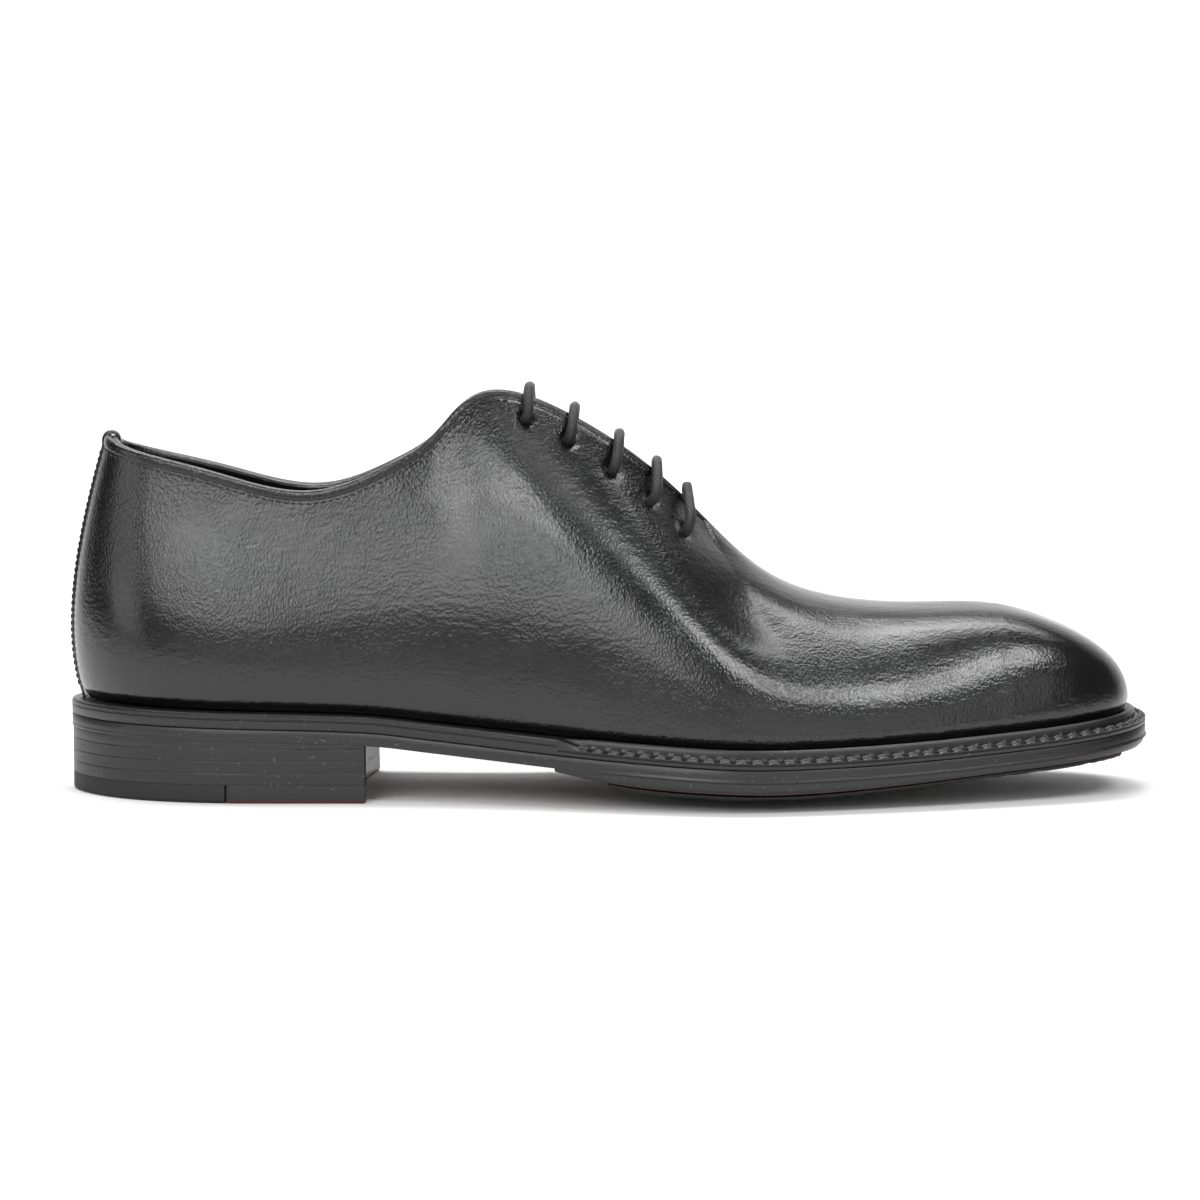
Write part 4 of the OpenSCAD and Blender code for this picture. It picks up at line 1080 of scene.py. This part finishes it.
def make_heel(sizes, paint):
    loop = heel_plan(None, BREAST, 0.25, 1.6)
    rubber_loop = heel_plan(None, TIP_ARC, 0.25, 0.35)
    front_loop = heel_plan((TIP_ARC[0] + 0.06, *TIP_ARC[1:]), BREAST, 0.25, 1.2)
    for name, plan, mat, slot in (("heel_top_piece", front_loop, "sole", "sole_leather"),
                                  ("heel_rubber_tip", rubber_loop, "rubber", "tread_rubber")):
        rows = block(plan, [(0, 0.9), (0.15, 0.45), (0.5, 0.12), (1.0, 0.0)])
        low = piece(name, *closed_loft(rows), paint[mat], slot=slot, sharp=40)
        side = block(plan, [(0.98, 0), (1.1, 0), (TOP_PIECE_T - 0.3, 0.01),
                            (TOP_PIECE_T - 0.05, 0.08)])
        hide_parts(name)
        piece(name + "_side", *closed_loft(side), paint["edge" if mat == "sole" else "rubber"],
              slot=slot, sharp=40)
    for i in range(LIFTS):
        z = TOP_PIECE_T + i * LIFT_T
        rows = block(loop, [(z, 0.07), (z + 0.08, 0.01), (z + 0.4, 0), (z + LIFT_T - 0.4, 0),
                            (z + LIFT_T - 0.1, 0.01), (z + LIFT_T - 0.02, 0.06)])
        lift = piece(f"heel_lift_{i + 1}", *closed_loft(rows), paint["stack"], slot="heel_leather",
                     sharp=40)
        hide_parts(f"heel_lift_{i + 1}")
    z = TOP_PIECE_T + LIFTS * LIFT_T
    rise = np.maximum(sole_z(loop[:, 0]) - 0.02, z + 0.2) - z
    rows = block(loop, [(z + rise * share, inset) for share, inset in
                        ((0, 0.07), (0.06, 0.01), (0.5, 0), (0.95, 0.01), (1, 0.06))])
    base = piece("heel_base", *closed_loft(rows), paint["stack"], slot="heel_leather", sharp=40)
    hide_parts("heel_base")
    spots = np.array([(14, 4), (24, -12), (24, 20), (56, -20), (56, 27), (76, -18), (76, 25)], float)
    turn = np.linspace(0, 2 * np.pi, 16, endpoint=False)
    shape = np.array([(0.75, -0.12), (0.95, 0.0), (1.0, 0.25), (1.0, 14)])
    nail = np.stack([shape[:, None, 0] * np.cos(turn), shape[:, None, 0] * np.sin(turn),
                     np.broadcast_to(shape[:, 1, None], (4, 16))], -1)
    _, faces = closed_loft(nail)
    cells = nail.reshape(1, -1, 3) + np.c_[spots, np.zeros(7)][:, None]
    nails = piece("heel_nails", *many(cells, faces, 7), paint["steel"], slot="nail_steel")
    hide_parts("heel_nails")


# ---- stage ----
CAMERA_AT = (-0.0025, -0.975, 0.142)
CAMERA_AIM = (-0.0025, 0.0, 0.0536)
CAMERA_LENS = 103.6     # millimetres
WORLD = 0.1
# name, place, aim, width, height, watts
LAMPS = [
    ("overhead", (-0.15, 0.4, 1.7), (-0.15, 0.4, 0), 1.4, 1.0, 17),
    ("quarter_window", (-0.69, -1.55, 0.91), (0, 0, 0.05), 1.25, 0.6, 10),
    ("instep_window", (-0.47, -1.28, 1.37), (0, 0, 0.05), 0.53, 0.4, 8),
    ("high_front", (0.3, -0.84, 1.73), (0, 0, 0.05), 0.9, 0.4, 2.5),
    ("high_right", (0.93, -0.85, 1.42), (0.05, 0, 0.05), 0.5, 0.48, 10.5),
    ("right_fill", (0.95, -1.65, 0.65), (0.05, 0, 0.05), 1.5, 0.9, 5),
    ("heel_side", (-1.6, -0.75, 0.6), (0, 0, 0.05), 0.7, 1.0, 4),
    ("low_front", (0, -2.3, 0.22), (0, 0, 0.1), 4.2, 0.45, 4.5),
    ("backdrop_wash", (0, 0.5, 2.3), (0, 1.9, 0.5), 3.0, 0.6, 45),
]


def sheet_light(name, place, aim, wide, tall, strength):
    """A soft rectangular lamp of wide by tall metres that faces a point."""
    lamp = bpy.data.lights.new(name, "AREA")
    lamp.shape = "RECTANGLE"
    lamp.size, lamp.size_y, lamp.energy = wide, tall, strength
    obj = bpy.data.objects.new(name, lamp)
    bpy.context.scene.collection.objects.link(obj)
    forward = unit(np.array(aim, float) - np.array(place, float))
    obj.location = place
    obj.rotation_euler = Vector(forward).to_track_quat("-Z", "Y").to_euler()
    return obj


def make_stage():
    """Pale floor that curves up into a backdrop, soft lamps and the camera."""
    y = np.concatenate([np.linspace(-2.2, 1.2, 30), 1.2 + 0.6 * np.sin(np.linspace(0.1, np.pi / 2, 16)),
                        np.full(6, 1.8)])
    z = np.concatenate([np.zeros(30), 0.6 - 0.6 * np.cos(np.linspace(0.1, np.pi / 2, 16)),
                        np.linspace(0.8, 2.6, 6)])
    x = np.linspace(-3, 3, 20)
    xx, yy = np.meshgrid(x, y, indexing="ij")
    points = np.stack([xx, yy, np.broadcast_to(z, xx.shape)], -1).reshape(-1, 3)
    mesh = bpy.data.meshes.new("floor")
    mesh.from_pydata(points.tolist(), [], grid(len(x), len(y)).tolist())
    mesh.polygons.foreach_set("use_smooth", np.ones(len(mesh.polygons), bool))
    p = Paint("pale_floor")
    p.done((0.86, 0.86, 0.86, 1), 0.9, specular=0.1)
    mesh.materials.append(p.material)
    floor = bpy.data.objects.new("floor", mesh)
    bpy.context.scene.collection.objects.link(floor)
    world = bpy.data.worlds.new("studio")
    world.use_nodes = True
    world.node_tree.nodes["Background"].inputs["Color"].default_value = (1, 1, 1, 1)
    world.node_tree.nodes["Background"].inputs["Strength"].default_value = WORLD
    bpy.context.scene.world = world
    for lamp in LAMPS:
        sheet_light(*lamp)
    lens = bpy.data.cameras.new("camera")
    lens.lens = CAMERA_LENS
    lens.clip_start, lens.clip_end = 0.01, 50
    camera = bpy.data.objects.new("camera", lens)
    bpy.context.scene.collection.objects.link(camera)
    camera.location = CAMERA_AT
    look = np.array(CAMERA_AIM) - np.array(CAMERA_AT)
    camera.rotation_euler = Vector(look).to_track_quat("-Z", "Y").to_euler()
    bpy.context.scene.camera = camera
    bpy.context.scene.view_settings.view_transform = "Standard"


# ---- settings, operators and panel ----
class ShoeSizes(bpy.types.PropertyGroup):
    """Sizes of the shoe's small repeated details."""

    grain: bpy.props.FloatProperty(
        name="Grain", description="Width of one pebble of the calf", default=0.00085,
        min=0.0003, max=0.003, unit="LENGTH", precision=5)
    stitch: bpy.props.FloatProperty(
        name="Stitch", description="Length of a stitch round the top edge, gap included",
        default=0.0021, min=0.001, max=0.005, unit="LENGTH", precision=5)
    welt_stitch: bpy.props.FloatProperty(
        name="Welt stitch", description="Length of a stitch of the welt, gap included",
        default=0.00436, min=0.002, max=0.008, unit="LENGTH", precision=5)
    braid: bpy.props.FloatProperty(
        name="Braid", description="Length in which a strand of the lace goes once round",
        default=0.011, min=0.004, max=0.03, unit="LENGTH", precision=5)


def colour_setting(name, description, default):
    return bpy.props.FloatVectorProperty(name=name, description=description, default=default,
                                         size=4, min=0.0, max=1.0, subtype="COLOR")


class ShoeColours(bpy.types.PropertyGroup):
    """Colours of the shoe's materials."""

    calf: colour_setting("Calf", "Outer leather", (0.0035, 0.0035, 0.0037, 1))
    lining: colour_setting("Lining", "Lining leather", (0.085, 0.008, 0.013, 1))
    thread: colour_setting("Thread", "Stitching of the upper", (0.006, 0.006, 0.0065, 1))
    lace: colour_setting("Lace", "Waxed cotton", (0.0035, 0.0035, 0.0038, 1))
    edge: colour_setting("Edge", "Inked edges of welt, sole and heel", (0.0055, 0.0055, 0.0058, 1))
    sole: colour_setting("Sole", "Underside leather", (0.07, 0.008, 0.012, 1))
    rubber: colour_setting("Rubber", "Tread and heel tip", (0.006, 0.006, 0.0062, 1))
    tan: colour_setting("Tan", "Unfinished leather inside", (0.32, 0.17, 0.075, 1))


PAINTS = {}


def mix_paints(context):
    """Every material of the shoe, from the colour settings."""
    c, s = context.scene.shoe_colours, context.scene.shoe_sizes
    PAINTS.update(
        calf=calf("black_calf", c.calf, s.grain),
        tongue=calf("tongue_calf", c.calf, s.grain, 0.00005, (0.3, 0.42), 0.2),
        lining=plain_leather("burgundy_lining", c.lining, 0.00006, (0.42, 0.6)),
        thread=cloth_thread("black_thread", c.thread),
        welt_thread=cloth_thread("waxed_thread", shade(c.thread, 2.4), 0.0012, 0.0001, 0.38, 0.0),
        lace=cloth_thread("waxed_lace", c.lace, 0.0007, 0.00012, 0.5, 0.03),
        aglet=burnished_edge("lace_tip", c.lace, 0.001, 0.00001, (0.2, 0.3)),
        edge=burnished_edge("edge_ink", c.edge),
        stack=burnished_edge("heel_stack", c.edge, 0.0012, 0.00008, (0.36, 0.55)),
        sole=plain_leather("sole_leather", c.sole, 0.00005, (0.3, 0.5)),
        rubber=rubber("tread_rubber", c.rubber),
        tan=plain_leather("raw_leather", c.tan),
        cork=cork("cork_filler", c.tan),
        canvas=canvas("canvas", (0.6, 0.55, 0.45, 1)),
        steel=steel("steel", (0.5, 0.5, 0.52, 1)),
        eyelet=steel("eyelet_metal", (0.05, 0.05, 0.055, 1)),
    )


def operator(key, label, doc, work):
    """An operator class that runs work(sizes, paints)."""
    def execute(self, context):
        work(context.scene.shoe_sizes, PAINTS)
        return {"FINISHED"}
    return type("SHOE_OT_" + key, (bpy.types.Operator,),
                {"bl_idname": "shoe." + key, "bl_label": label, "__doc__": doc, "execute": execute})


def inner_parts(sizes, paint):
    """Finishes for the packed parts that stay inside the shoe."""
    for node, finish in (("heel_counter", "tan"), ("toe_puff", "tan"), ("side_stays", "canvas"),
                         ("facing_stays", "canvas"), ("blind_eyelets", "eyelet"), ("insole", "tan"),
                         ("insole_rib", "canvas"), ("shank", "steel"), ("bottom_filler", "cork")):
        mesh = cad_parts[node].data
        mesh.materials.clear()
        mesh.materials.append(paint[finish])


class SHOE_OT_stage(bpy.types.Operator):
    """Floor, lamps and camera"""

    bl_idname, bl_label = "shoe.stage", "Stage"

    def execute(self, context):
        make_stage()
        mix_paints(context)
        return {"FINISHED"}


OPERATORS = [
    operator("upper", "Upper", "The wholecut upper with its dished eyelets", make_upper),
    operator("topline", "Top edge", "The rolled edge and the stitches under it", make_topline),
    operator("back_strip", "Back strip", "The strip over the back seam", make_back_strip),
    operator("linings", "Linings", "The quarter and vamp linings", make_linings),
    # The tongue and its lining
    operator("tongue", "Tongue", "The tongue, which bends at its foot", make_tongue),
    operator("lace", "Lace", "The braided lace and its tips", make_lace),
    operator("welt", "Welt", "The storm welt and its stitches", make_welt),
    operator("rand", "Rand", "The strip round the heel and waist", make_rand),
    operator("soles", "Soles", "Outsole, second sole, tread and sock liner", make_soles),
    operator("heel", "Heel", "The stacked heel and its nails", make_heel),
    operator("inner", "Inner parts", "Finishes of the parts inside", inner_parts),
]


class SHOE_PT_panel(bpy.types.Panel):
    """Lists the shoe's operators and settings"""

    bl_idname, bl_label = "SHOE_PT_panel", "Leather Oxford Shoe"
    bl_space_type, bl_region_type, bl_category = "VIEW_3D", "UI", "Shoe"

    def draw(self, context):
        for group in (context.scene.shoe_sizes, context.scene.shoe_colours):
            box = self.layout.box()
            for key in group.__annotations__:
                box.prop(group, key)
        for made in [SHOE_OT_stage] + OPERATORS:
            self.layout.operator(made.bl_idname)


CLASSES = [ShoeSizes, ShoeColours, SHOE_OT_stage, *OPERATORS, SHOE_PT_panel]


def register():
    for c in CLASSES:
        bpy.utils.register_class(c)
    bpy.types.Scene.shoe_sizes = bpy.props.PointerProperty(type=ShoeSizes)
    bpy.types.Scene.shoe_colours = bpy.props.PointerProperty(type=ShoeColours)


def unregister():
    del bpy.types.Scene.shoe_sizes, bpy.types.Scene.shoe_colours
    for c in reversed(CLASSES):
        bpy.utils.unregister_class(c)


def main():
    register()
    for made in [SHOE_OT_stage] + OPERATORS:
        group, name = made.bl_idname.split(".")
        getattr(getattr(bpy.ops, group), name)()


if __name__ == "__main__":
    main()
